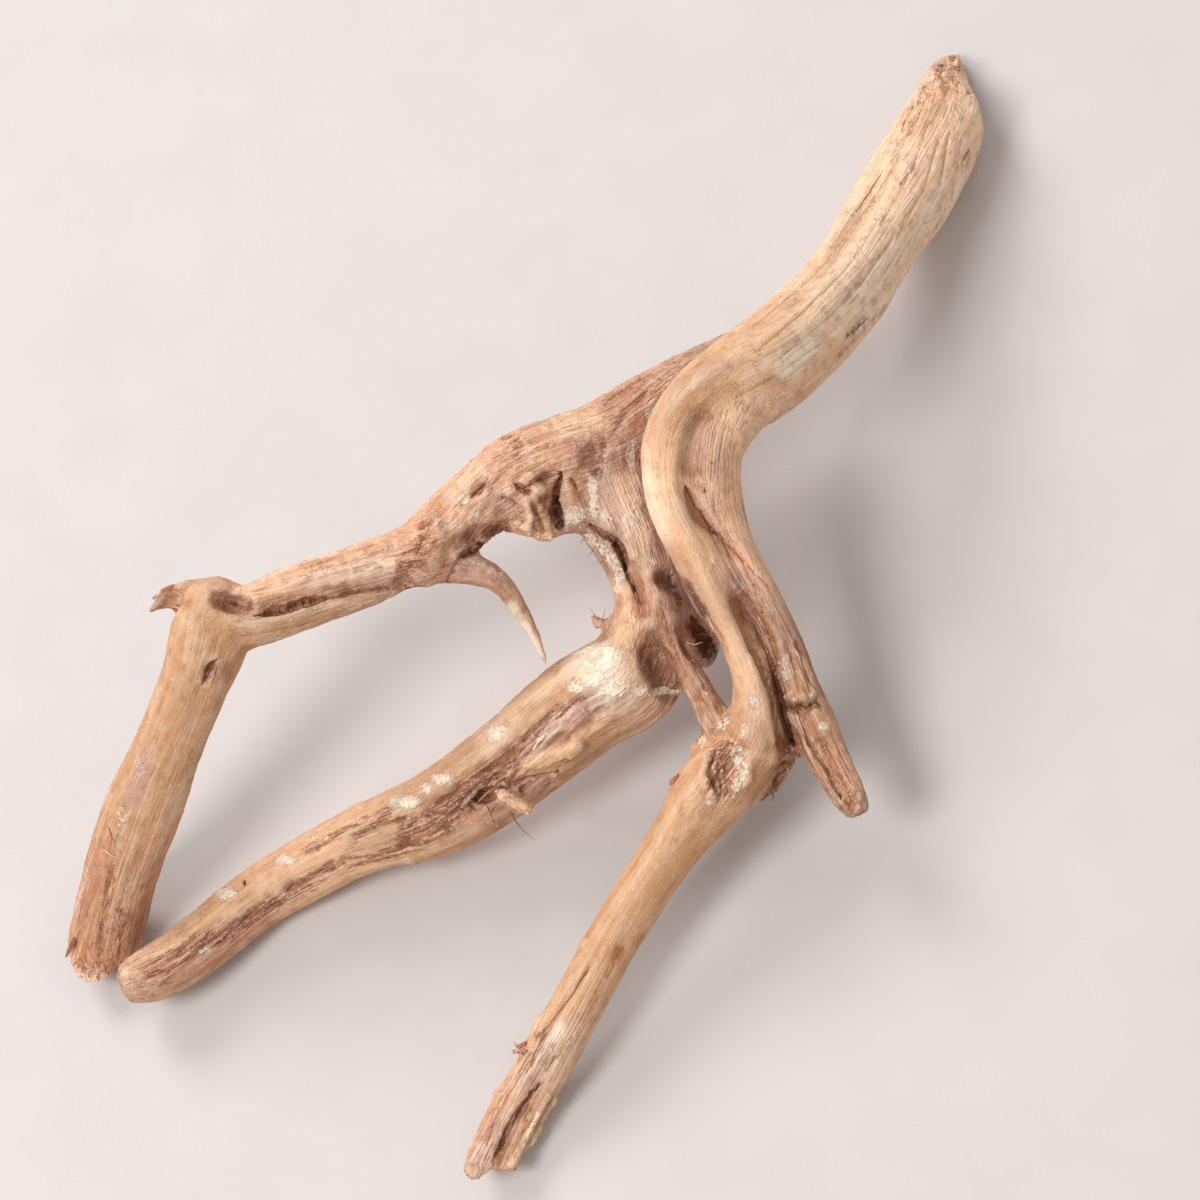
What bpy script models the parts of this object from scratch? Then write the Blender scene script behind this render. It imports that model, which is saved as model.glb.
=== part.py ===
"""A weathered driftwood branch for an aquarium.

It is one grown piece of wood that lies on its cut legs and its broken tip. The limbs are drawn first,
leaning as if the tip were propped up. They are lofted and grown together, the grooves and hollows are
pressed in, and the branch is then turned down onto its low points.

Blender 4.5, metres, +Z up. Run it with blender --background --python part.py, or from the text editor.
"""

import math

import bmesh
import bpy
import numpy as np
from mathutils import Matrix, Vector, noise
from mathutils.bvhtree import BVHTree

MM = 0.001
NAME = "driftwood_branch"

# The drawing: across and up on a plane through the middle of the ground, seen from an eye at this
# distance and elevation. Everything drawn is in millimetres.
EYE_DISTANCE = 702.0
EYE_ELEVATION = math.radians(44.6)

# The turn that lays the leaning branch down, about the across axis and then about the axis that points
# away.
REST_BACK = math.radians(-19.1)
REST_SIDE = math.radians(11.6)
FLAT_DEPTH = 0.6

# The legs are sawn off at this height above the ground of the drawing.
SAWN_HEIGHT = 2.0

# The make of the wood: spacing of rings and sides of the lofts, then of the skin over them.
RING_STEP = 1.4
SIDES = 32
VOXEL = 0.75
TRIANGLES = 10800

# The long flutes: their depth as a share of the radius, how fast they change along the limb per
# millimetre, and about how many turns of broad and of narrow ones go round it.
BROAD_SHARE = 0.084
NARROW_SHARE = 0.056
BROAD_CHANGE = 0.045
NARROW_CHANGE = 0.072
BROAD_TURNS = 1.1
NARROW_TURNS = 2.6
LEAST_RADIUS = 0.3

# How the skin is worn after it is grown and after it is pressed, and how it is tested for what hides it
# from the eye: a start this far off the skin, and a fade where the skin turns edge on.
GROWN_WEAR = 0.5
GROWN_PASSES = 2
PRESSED_WEAR = 0.4
CLEAR_OF_SKIN = 0.3
EDGE_ON_FADE = 3
GROOVE_WALL = 1.2

# A limb is a list of stations: across, up, height above the ground, and half of the width as drawn.
TRUNK = (
    (55.6, 84.9, 69.5, 0.8),
    (54.3, 82.4, 69.3, 2.8),
    (53.6, 79.4, 69.0, 4.3),
    (53.3, 76.4, 68.8, 5.8),
    (52.7, 72.9, 68.6, 7.2),
    (48.2, 63.8, 68.0, 7.4),
    (43.0, 56.2, 67.5, 7.1),
    (37.9, 48.5, 67.3, 7.0),
    (32.7, 42.6, 67.5, 7.6),
    (25.7, 36.5, 68.0, 7.9),
    (20.3, 32.4, 67.2, 7.4),
    (16.5, 28.5, 65.5, 5.5),
)
TIP_SPLINTER = (
    (53.0, 78.5, 70.5, 2.2),
    (52.3, 81.2, 70.8, 1.5),
    (51.8, 83.4, 71.0, 0.5),
)
FRONT_LIMB = (
    (25.7, 36.5, 68.5, 5.5),
    (17.9, 33.1, 69.0, 5.5),
    (13.1, 29.3, 68.5, 4.7),
    (10.6, 24.5, 66.5, 4.1),
    (10.1, 18.4, 64.0, 3.5),
    (11.7, 12.6, 61.0, 3.6),
    (14.4, 8.1, 58.0, 3.9),
    (17.6, 0.9, 54.0, 3.9),
    (20.6, -4.4, 51.0, 3.0),
    (23.4, -10.6, 47.0, 3.2),
    (24.3, -15.6, 44.0, 3.7),
    (24.6, -20.0, 41.5, 4.3),
    (23.4, -24.6, 38.5, 5.1),
)
FRONT_LEG = (
    (23.7, -23.7, 38.5, 4.7),
    (18.2, -29.1, 35.5, 6.2),
    (11.6, -38.2, 30.0, 4.6),
    (6.0, -46.6, 25.0, 4.4),
    (1.2, -54.6, 20.3, 4.3),
    (-4.6, -65.4, 14.0, 4.2),
    (-9.0, -73.2, 9.3, 4.3),
    (-12.8, -79.9, 4.2, 4.4),
    (-17.6, -89.8, -0.9, 5.1),
    (-20.6, -95.5, -4.2, 5.3),
)
SPUR_LIMB = (
    (25.3, 35.6, 65.0, 5.5),
    (20.3, 29.3, 66.0, 5.8),
    (18.1, 23.4, 64.5, 4.5),
    (17.8, 17.2, 61.0, 4.2),
    (19.8, 8.6, 56.5, 4.1),
    (23.9, 0.6, 52.0, 3.9),
    (27.9, -7.0, 47.0, 3.8),
    (31.0, -14.4, 43.6, 3.6),
    (33.2, -19.7, 41.2, 3.9),
    (36.0, -25.3, 38.8, 3.4),
    (38.7, -30.0, 37.0, 3.0),
    (40.6, -33.4, 35.8, 2.1),
)
SPUR_WEB = (
    (17.0, 29.6, 67.0, 5.0),
    (15.2, 23.4, 65.4, 4.8),
    (16.2, 15.8, 61.0, 4.3),
    (18.2, 9.6, 57.0, 4.2),
    (21.4, 2.2, 53.0, 3.9),
    (24.3, -4.7, 48.6, 3.3),
    (26.5, -12.5, 43.8, 2.8),
    (28.1, -19.5, 40.0, 2.6),
    (27.8, -24.5, 37.0, 2.4),
)
SIDE_RIDGE = (
    (33.0, 43.0, 67.0, 3.6),
    (26.5, 39.3, 63.0, 4.8),
    (17.9, 35.6, 59.5, 5.0),
    (8.6, 29.3, 59.0, 6.6),
    (0.0, 23.4, 59.0, 7.3),
    (-6.2, 21.5, 59.0, 7.0),
    (-12.5, 19.3, 59.0, 7.0),
    (-18.1, 16.1, 58.0, 5.8),
    (-22.2, 12.5, 56.5, 5.6),
    (-26.0, 8.6, 55.8, 5.7),
    (-31.2, 6.9, 55.5, 4.3),
    (-39.8, 4.8, 55.2, 3.3),
    (-48.2, 2.5, 54.8, 2.9),
    (-53.0, 1.0, 54.6, 2.4),
    (-55.6, -0.2, 54.2, 1.6),
)
SIDE_LIMB = (
    (-25.0, 5.9, 54.5, 3.6),
    (-30.4, 4.4, 53.8, 3.0),
    (-36.0, 2.0, 53.0, 3.0),
    (-42.3, 0.3, 52.6, 3.4),
    (-49.2, -2.0, 52.2, 3.9),
    (-55.2, -3.0, 52.0, 4.8),
    (-60.3, -2.0, 52.0, 5.8),
    (-64.0, -0.8, 52.0, 4.3),
)
SIDE_LEG = (
    (-61.9, -1.9, 52.0, 5.4),
    (-61.3, -7.0, 49.0, 6.2),
    (-63.1, -12.4, 44.6, 5.5),
    (-67.1, -22.2, 35.5, 5.5),
    (-70.5, -30.7, 27.0, 6.0),
    (-73.8, -39.8, 18.0, 5.9),
    (-76.1, -47.6, 8.2, 5.9),
    (-77.7, -55.5, 0.0, 6.3),
    (-78.8, -63.0, -3.5, 6.1),
)
MIDDLE_LEG = (
    (0.0, 23.4, 57.0, 6.5),
    (1.6, 17.8, 55.5, 6.9),
    (3.4, 13.2, 53.6, 6.8),
    (5.9, 7.8, 51.0, 6.0),
    (7.5, 0.8, 47.5, 5.3),
    (7.2, -6.0, 44.5, 6.4),
    (5.1, -11.6, 41.0, 8.2),
    (-1.2, -15.4, 37.5, 8.0),
    (-6.2, -19.4, 34.3, 7.8),
    (-12.4, -24.4, 30.5, 7.2),
    (-18.7, -29.2, 26.5, 7.1),
    (-25.0, -33.1, 23.0, 6.8),
    (-31.2, -35.5, 20.0, 6.2),
    (-37.4, -37.8, 17.0, 5.5),
    (-42.9, -40.4, 14.5, 5.1),
    (-53.0, -46.1, 9.8, 4.8),
    (-61.4, -52.8, 7.0, 4.8),
    (-67.4, -57.2, 6.0, 4.6),
    (-71.8, -59.2, 5.8, 4.0),
    (-74.8, -60.4, 5.6, 2.7),
)
TORN_FLAP = (
    (-15.5, 15.5, 58.0, 4.0),
    (-12.5, 13.6, 57.0, 3.4),
    (-9.4, 12.9, 56.0, 3.3),
    (-6.6, 12.4, 55.5, 2.7),
    (-3.6, 12.8, 55.0, 2.4),
)
STRUT = (
    (6.2, 4.7, 50.5, 3.6),
    (8.1, 0.0, 49.0, 3.4),
    (10.6, -5.0, 46.8, 2.8),
    (13.1, -9.7, 44.6, 2.4),
    (15.6, -14.4, 42.5, 2.3),
    (18.4, -19.5, 40.3, 2.8),
    (20.3, -22.6, 39.0, 3.4),
)
STRUT_BACK = (
    (6.0, 8.0, 49.0, 4.5),
    (8.2, 4.4, 46.8, 4.6),
    (11.4, 1.0, 44.0, 4.6),
    (14.4, -3.6, 41.0, 4.3),
    (16.1, -7.4, 38.5, 3.0),
    (15.7, -10.2, 37.5, 1.8),
)
HANGING_ROOT = (
    (-26.5, 6.2, 54.5, 3.2),
    (-21.5, 4.7, 54.0, 2.4),
    (-17.4, 4.0, 53.4, 2.3),
    (-14.6, 1.6, 51.6, 1.8),
    (-12.2, -2.0, 49.0, 1.5),
    (-10.2, -5.6, 46.6, 1.2),
    (-8.9, -8.6, 44.8, 0.9),
    (-8.0, -11.0, 43.4, 0.5),
)
KNEE_THORN = (
    (-63.8, 0.8, 52.5, 2.9),
    (-66.6, 0.5, 52.2, 2.0),
    (-69.0, -0.8, 51.6, 1.1),
    (-71.2, -2.5, 51.0, 0.4),
)
BARK_LEDGE = (
    (30.2, -23.7, 35.0, 1.2),
    (28.2, -26.8, 33.5, 1.5),
    (25.4, -29.0, 32.0, 1.9),
    (22.0, -30.6, 31.5, 2.6),
)
TWIG_STUMP = (
    (-17.4, -29.0, 29.0, 1.4),
    (-15.0, -30.2, 31.8, 1.1),
    (-11.0, -32.8, 33.4, 0.95),
)
KNOT_BUMP = (
    (16.4, -23.6, 37.0, 2.4),
    (14.3, -23.2, 36.5, 1.3),
)
LEG_BUD = (
    (14.6, -28.2, 34.5, 2.4),
    (11.4, -28.1, 34.0, 1.1),
)
LEG_KNUCKLE = (
    (-0.6, -54.0, 21.0, 2.6),
    (-3.0, -53.3, 21.2, 1.0),
)
LEG_SPUR_HIGH = (
    (-8.5, -66.4, 13.4, 1.8),
    (-10.6, -65.6, 13.8, 0.7),
)
LEG_SPUR_LOW = (
    (-10.6, -70.4, 10.8, 2.0),
    (-12.6, -69.6, 11.0, 0.8),
)
FOOT_SPUR = (
    (-14.6, -78.4, 6.2, 2.0),
    (-16.7, -77.0, 6.6, 0.8),
)
MIDDLE_SPUR = (
    (-28.2, -39.4, 18.5, 1.8),
    (-29.2, -41.8, 17.5, 0.6),
)
MIDDLE_KNUCKLE = (
    (-37.4, -34.2, 18.5, 2.4),
    (-38.2, -31.8, 19.5, 1.0),
)
NECK_THORN = (
    (0.2, -4.2, 44.0, 1.6),
    (-1.6, -1.7, 45.5, 0.5),
)
LIMBS = (
    TRUNK,
    TIP_SPLINTER,
    FRONT_LIMB,
    FRONT_LEG,
    SPUR_LIMB,
    SPUR_WEB,
    SIDE_RIDGE,
    SIDE_LIMB,
    SIDE_LEG,
    MIDDLE_LEG,
    TORN_FLAP,
    STRUT,
    STRUT_BACK,
    HANGING_ROOT,
    KNEE_THORN,
    BARK_LEDGE,
    TWIG_STUMP,
    KNOT_BUMP,
    LEG_BUD,
    LEG_KNUCKLE,
    LEG_SPUR_HIGH,
    LEG_SPUR_LOW,
    FOOT_SPUR,
    MIDDLE_SPUR,
    MIDDLE_KNUCKLE,
    NECK_THORN,
)

# A groove is pressed into the side that faces the eye: depth, half of its width, then its across and up
# points.
GROOVES = (
    (0.9, 0.9, ((13.4, 17.6), (15.4, 13.0), (18.4, 10.1), (21.5, 6.0), (24.5, 2.0))),
    (2.2, 1.4, ((21.8, 0.3), (25.4, -8.3), (27.8, -14.5), (28.6, -19.7), (29.5, -22.9))),
    (1.0, 2.6, ((15.6, 28.5), (15.0, 24.0), (15.6, 20.5))),
    (1.8, 1.0, ((-51.5, -1.0), (-47.0, -0.1), (-42.0, 1.3), (-36.0, 1.9), (-30.0, 2.2))),
    (1.8, 1.3, ((-1.2, 11.4), (2.0, 8.6), (4.2, 4.6), (5.6, 1.0), (6.6, -1.6))),
    (2.7, 1.7, ((-7.8, 18.4), (-7.0, 15.6), (-6.8, 13.4), (-4.8, 11.8))),
    (1.2, 2.2, ((0.0, 25.0), (-1.4, 22.0), (-2.3, 19.0))),
    (0.9, 2.0, ((-5.2, -14.0), (-10.5, -19.0), (-17.0, -25.2), (-22.5, -29.6), (-29.5, -35.0))),
    (2.2, 1.6, ((-15.4, -28.2), (-17.6, -30.2), (-19.6, -32.2))),
    (1.0, 0.9, ((-9.6, -75.4), (-12.4, -80.6), (-15.2, -86.0), (-17.0, -90.5))),
    (1.0, 1.3, ((32.0, -17.5), (34.6, -22.6), (37.4, -28.0), (39.6, -31.6))),
    (0.8, 1.8, ((45.0, 66.0), (40.2, 59.0), (35.4, 53.0), (30.6, 48.4))),
    (0.7, 1.4, ((50.6, 58.0), (46.6, 51.2), (41.6, 43.4), (35.4, 37.4))),
)

# A hollow: depth, half length, half width, turn of its length from across in degrees, then across and up.
HOLLOWS = (
    (2.4, 4.4, 2.8, 68, 19.8, -26.7),
    (3.0, 4.4, 2.1, 108, 9.2, -10.2),
    (3.2, 3.4, 2.4, 120, 15.6, -6.6),
    (1.5, 2.4, 1.6, 20, -57.4, -0.4),
    (1.2, 2.2, 0.9, 55, -61.2, -11.2),
    (0.9, 1.4, 1.0, 60, -18.9, 17.3),
    (0.9, 1.5, 1.0, 60, -11.6, 17.4),
    (0.8, 3.0, 1.4, 118, -57.0, -12.0),
    (0.6, 2.6, 1.0, 60, 2.9, -55.2),
)

EYE = Vector((0, -math.cos(EYE_ELEVATION), math.sin(EYE_ELEVATION))) * EYE_DISTANCE
DRAWING_UP = Vector((0, math.sin(EYE_ELEVATION), math.cos(EYE_ELEVATION)))
LIE_DOWN = Matrix.Rotation(REST_SIDE, 3, "Y") @ Matrix.Rotation(REST_BACK, 3, "X")


def placed(across, up, height, half_width):
    """The point of a station on its sight line, and the radius there."""
    on_plane = Vector((across, 0, 0)) + DRAWING_UP * up
    share = (EYE.z - height) / (EYE.z - on_plane.z)
    return EYE.lerp(on_plane, share), half_width * share


def as_drawn(points):
    """Across and up of an array of points."""
    from_eye = points - np.array(EYE)
    away = -from_eye @ np.array(EYE) / EYE_DISTANCE
    scale = EYE_DISTANCE / away
    return np.stack([from_eye[:, 0] * scale, from_eye @ np.array(DRAWING_UP) * scale], axis=1)


def through(before, start, end, after, t):
    """The Catmull-Rom value between start and end at t."""
    return 0.5 * (
        2 * start
        + (end - before) * t
        + (2 * before - 5 * start + 4 * end - after) * t**2
        + (3 * start - 3 * end + after - before) * t**3
    )


def limb_line(stations):
    """Points and radii along a limb, on one smooth curve through its stations."""
    line = [placed(*station) for station in stations]
    points = [p for p, r in line]
    radii = [r for p, r in line]
    points = [2 * points[0] - points[1], *points, 2 * points[-1] - points[-2]]
    radii = [radii[0], *radii, radii[-1]]
    smooth = []
    for i in range(1, len(points) - 2):
        steps = max(2, round((points[i + 1] - points[i]).length / RING_STEP))
        for k in range(steps):
            t = k / steps
            point = through(*points[i - 1 : i + 3], t)
            radius = through(*radii[i - 1 : i + 3], t)
            smooth.append((point, max(LEAST_RADIUS, radius)))
    smooth.append((points[-2], radii[-2]))
    return smooth


def fluted(radius, angle, along, seed):
    """The radius with long uneven flutes that run along the limb."""
    around = Vector((math.cos(angle), math.sin(angle), 0))
    broad = noise.noise(around * BROAD_TURNS + Vector((0, 0, along * BROAD_CHANGE + seed)))
    narrow = noise.noise(around * NARROW_TURNS + Vector((0, 0, along * NARROW_CHANGE - seed)))
    return radius * (1 + BROAD_SHARE * broad + NARROW_SHARE * narrow)


def add_limb(bm, stations, seed):
    """A closed loft of rings along a limb."""
    line = limb_line(stations)
    rings = []
    travelled = 0
    for i, (centre, radius) in enumerate(line):
        ahead = line[min(i + 1, len(line) - 1)][0]
        behind = line[max(i - 1, 0)][0]
        along = (ahead - behind).normalized()
        side = along.cross(EYE - centre).normalized()
        face = side.cross(along)
        travelled += (centre - behind).length
        ring = []
        for k in range(SIDES):
            angle = 2 * math.pi * k / SIDES
            out = side * math.cos(angle) + face * math.sin(angle)
            ring.append(bm.verts.new(centre + out * fluted(radius, angle, travelled, seed)))
        rings.append(ring)
    for ring, following in zip(rings, rings[1:]):
        for k in range(SIDES):
            n = (k + 1) % SIDES
            bm.faces.new((ring[k], ring[n], following[n], following[k]))
    bm.faces.new(rings[0][::-1])
    bm.faces.new(rings[-1])


def grown_together(bm):
    """One skin over all the limbs, in millimetres, with the loose scraps dropped."""
    mesh = bpy.data.meshes.new("limbs")
    bm.to_mesh(mesh)
    bm.free()
    limbs = bpy.data.objects.new("limbs", mesh)
    bpy.context.scene.collection.objects.link(limbs)
    skin = limbs.modifiers.new("skin", "REMESH")
    skin.mode = "VOXEL"
    skin.voxel_size = VOXEL
    skin.adaptivity = 0
    worn = limbs.modifiers.new("worn", "SMOOTH")
    worn.factor = GROWN_WEAR
    worn.iterations = GROWN_PASSES
    graph = bpy.context.evaluated_depsgraph_get()
    grown = bmesh.new()
    grown.from_object(limbs, graph)
    bpy.data.objects.remove(limbs)
    bpy.data.meshes.remove(mesh)
    drop_scraps(grown)
    return grown


def drop_scraps(bm):
    """Keeps only the largest connected body."""
    bodies = []
    seen = set()
    for start in bm.verts:
        if start in seen:
            continue
        body = []
        seen.add(start)
        todo = [start]
        while todo:
            vert = todo.pop()
            body.append(vert)
            for edge in vert.link_edges:
                other = edge.other_vert(vert)
                if other not in seen:
                    seen.add(other)
                    todo.append(other)
        bodies.append(body)
    bodies.sort(key=len)
    for body in bodies[:-1]:
        bmesh.ops.delete(bm, geom=body, context="VERTS")


def distance_to_line(points, line):
    """The distance of each drawn point from a drawn line of several points."""
    nearest = np.full(len(points), np.inf)
    for a, b in zip(line, line[1:]):
        a = np.array(a)
        step = np.array(b) - a
        share = np.clip((points - a) @ step / (step @ step), 0, 1)
        nearest = np.minimum(nearest, np.linalg.norm(points - a - share[:, None] * step, axis=1))
    return nearest


def press_in(bm):
    """Presses the grooves and hollows into the side of the skin that the eye sees."""
    bm.normal_update()
    points = np.array([v.co for v in bm.verts])
    normals = np.array([v.normal for v in bm.verts])
    to_eye = np.array(EYE) - points
    to_eye /= np.linalg.norm(to_eye, axis=1)[:, None]
    facing = np.clip((normals * to_eye).sum(axis=1) * EDGE_ON_FADE, 0, 1)
    tree = BVHTree.FromBMesh(bm)
    start = points + normals * CLEAR_OF_SKIN
    for i in np.flatnonzero(facing):
        if tree.ray_cast(Vector(start[i]), Vector(to_eye[i]))[0] is not None:
            facing[i] = 0
    drawn = as_drawn(points)
    depth = np.zeros(len(points))
    for deep, half_width, line in GROOVES:
        away = distance_to_line(drawn, line) / half_width
        depth = np.maximum(depth, deep * np.exp(-(away**2) * GROOVE_WALL))
    for deep, half_length, half_width, turn, across, up in HOLLOWS:
        turn = math.radians(turn)
        offset = drawn - (across, up)
        length = offset @ (math.cos(turn), math.sin(turn)) / half_length
        width = offset @ (-math.sin(turn), math.cos(turn)) / half_width
        depth = np.maximum(depth, deep * np.exp(-((length**2 + width**2) ** 1.5)))
    points -= normals * (depth * facing)[:, None]
    for vert, point in zip(bm.verts, points):
        vert.co = point
    bmesh.ops.smooth_vert(
        bm, verts=bm.verts, factor=PRESSED_WEAR, use_axis_x=True, use_axis_y=True, use_axis_z=True
    )


def cut_flat(bm, height):
    """Cuts away what is below a height, and closes the cut."""
    geometry = bm.verts[:] + bm.edges[:] + bm.faces[:]
    cut = bmesh.ops.bisect_plane(
        bm, geom=geometry, dist=1e-5, plane_co=(0, 0, height), plane_no=(0, 0, 1), clear_inner=True
    )
    rim = [e for e in cut["geom_cut"] if isinstance(e, bmesh.types.BMEdge)]
    bmesh.ops.triangle_fill(bm, edges=rim, use_beauty=True, normal=(0, 0, -1))


def thinned(bm, triangles):
    """The same skin with about this many triangles."""
    mesh = bpy.data.meshes.new("skin")
    bm.to_mesh(mesh)
    bm.free()
    skin = bpy.data.objects.new("skin", mesh)
    bpy.context.scene.collection.objects.link(skin)
    skin.modifiers.new("triangles", "TRIANGULATE")
    fewer = skin.modifiers.new("fewer", "DECIMATE")
    fewer.ratio = triangles / (2 * len(mesh.polygons))
    graph = bpy.context.evaluated_depsgraph_get()
    thin = bmesh.new()
    thin.from_object(skin, graph)
    bpy.data.objects.remove(skin)
    bpy.data.meshes.remove(mesh)
    return thin


def lie_down(bm):
    """Turns the branch onto its lowest points, cuts them flat, and puts the origin under its middle."""
    bm.transform(LIE_DOWN.to_4x4())
    low, high = extent(bm)
    shift = Vector((-(low.x + high.x) / 2, -(low.y + high.y) / 2, -low.z - FLAT_DEPTH))
    bm.transform(Matrix.Translation(shift))
    cut_flat(bm, 0)
    return shift


def extent(bm):
    """The lowest and the highest corner."""
    points = np.array([v.co for v in bm.verts])
    return Vector(points.min(axis=0)), Vector(points.max(axis=0))


def wood_material():
    material = bpy.data.materials.new("weathered_wood")
    material.use_nodes = True
    shader = material.node_tree.nodes["Principled BSDF"]
    shader.inputs["Base Color"].default_value = (0.55, 0.36, 0.22, 1)
    shader.inputs["Roughness"].default_value = 0.75
    shader.inputs["Metallic"].default_value = 0.0
    return material


def clear_scene():
    for obj in list(bpy.data.objects):
        bpy.data.objects.remove(obj)


def main():
    clear_scene()
    bm = bmesh.new()
    for seed, stations in enumerate(LIMBS):
        add_limb(bm, stations, 10 * seed)
    bmesh.ops.recalc_face_normals(bm, faces=bm.faces)
    bm = grown_together(bm)
    press_in(bm)
    cut_flat(bm, SAWN_HEIGHT)
    bm = thinned(bm, TRIANGLES)
    shift = lie_down(bm)
    bmesh.ops.triangulate(bm, faces=bm.faces)
    bm.transform(Matrix.Scale(MM, 4))
    mesh = bpy.data.meshes.new(NAME)
    bm.to_mesh(mesh)
    bm.free()
    mesh.shade_smooth()
    mesh.materials.append(wood_material())
    branch = bpy.data.objects.new(NAME, mesh)
    parts = bpy.data.collections.new("driftwood")
    bpy.context.scene.collection.children.link(parts)
    parts.objects.link(branch)
    return shift


main()
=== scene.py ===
"""The looks of a weathered driftwood branch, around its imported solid.

The branch is one piece of wood. A fine skin is grown over the solid and carved with the wood's flutes,
cracks, hollows and torn bark. It is painted by where each point lies along its limb. Fibres, hairs and flakes
are pieces of their own. Lengths are in millimetres until a mesh is handed to Blender in metres.
"""

import logging
import math
from collections.abc import Iterator
from dataclasses import dataclass, field, replace
from enum import Enum
from typing import ClassVar

import bmesh
import bpy
import numpy as np
from mathutils import Matrix, Vector
from mathutils.bvhtree import BVHTree


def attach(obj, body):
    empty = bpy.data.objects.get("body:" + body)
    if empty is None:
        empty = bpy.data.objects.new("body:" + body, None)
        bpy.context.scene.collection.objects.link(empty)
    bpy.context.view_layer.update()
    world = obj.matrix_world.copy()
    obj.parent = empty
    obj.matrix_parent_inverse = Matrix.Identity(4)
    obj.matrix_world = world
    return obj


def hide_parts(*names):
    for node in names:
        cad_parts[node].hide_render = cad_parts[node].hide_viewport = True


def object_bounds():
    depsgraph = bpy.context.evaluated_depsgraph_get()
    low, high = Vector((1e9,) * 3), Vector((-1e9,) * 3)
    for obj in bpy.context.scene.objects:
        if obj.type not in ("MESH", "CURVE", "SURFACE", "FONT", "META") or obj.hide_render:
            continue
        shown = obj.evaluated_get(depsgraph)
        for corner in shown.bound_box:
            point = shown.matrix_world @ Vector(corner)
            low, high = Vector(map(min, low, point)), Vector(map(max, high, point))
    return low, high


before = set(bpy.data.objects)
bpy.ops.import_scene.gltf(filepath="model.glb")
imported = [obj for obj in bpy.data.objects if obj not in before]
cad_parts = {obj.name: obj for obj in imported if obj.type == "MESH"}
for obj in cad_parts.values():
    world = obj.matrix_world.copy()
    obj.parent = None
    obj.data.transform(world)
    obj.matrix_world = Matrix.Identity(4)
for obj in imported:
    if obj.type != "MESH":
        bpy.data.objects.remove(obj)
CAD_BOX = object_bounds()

log = logging.getLogger("driftwood")

MM = 0.001
NODE = "driftwood_branch"
BODY = "root"

Array = np.ndarray
Colour = tuple[float, float, float]
Spot = tuple[float, float]
Station = tuple[float, float, float, float]
Along = tuple[float, float, float]
Socket = bpy.types.NodeSocket
Value = float | tuple[float, ...] | Socket
Pair = tuple[float, float]


def paint(red: int, green: int, blue: int) -> Colour:
    """A screen colour in linear values.

    Args:
        red: From 0 to 255.
        green: From 0 to 255.
        blue: From 0 to 255.

    Returns:
        The colour, from 0 to 1.
    """
    return tuple(
        c / 12.92 if c <= 0.04045 else ((c + 0.055) / 1.055) ** 2.4
        for c in (red / 255, green / 255, blue / 255)
    )


def linked(name: str, data: bpy.types.ID) -> bpy.types.Object:
    """A new object in the scene.

    Args:
        name: Its name.
        data: The mesh, light or camera that it shows.

    Returns:
        The object.
    """
    thing = bpy.data.objects.new(name, data)
    bpy.context.collection.objects.link(thing)
    return thing


def unit(rows: Array) -> Array:
    """Vectors brought to length one."""
    return rows / np.linalg.norm(rows, axis=1)[:, None]


def smooth_step(low: float, high: float, value: Array) -> Array:
    """0 below low, 1 above high, and a smooth ramp between them."""
    share = np.clip((value - low) / (high - low), 0, 1)
    return share * share * (3 - 2 * share)


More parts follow.
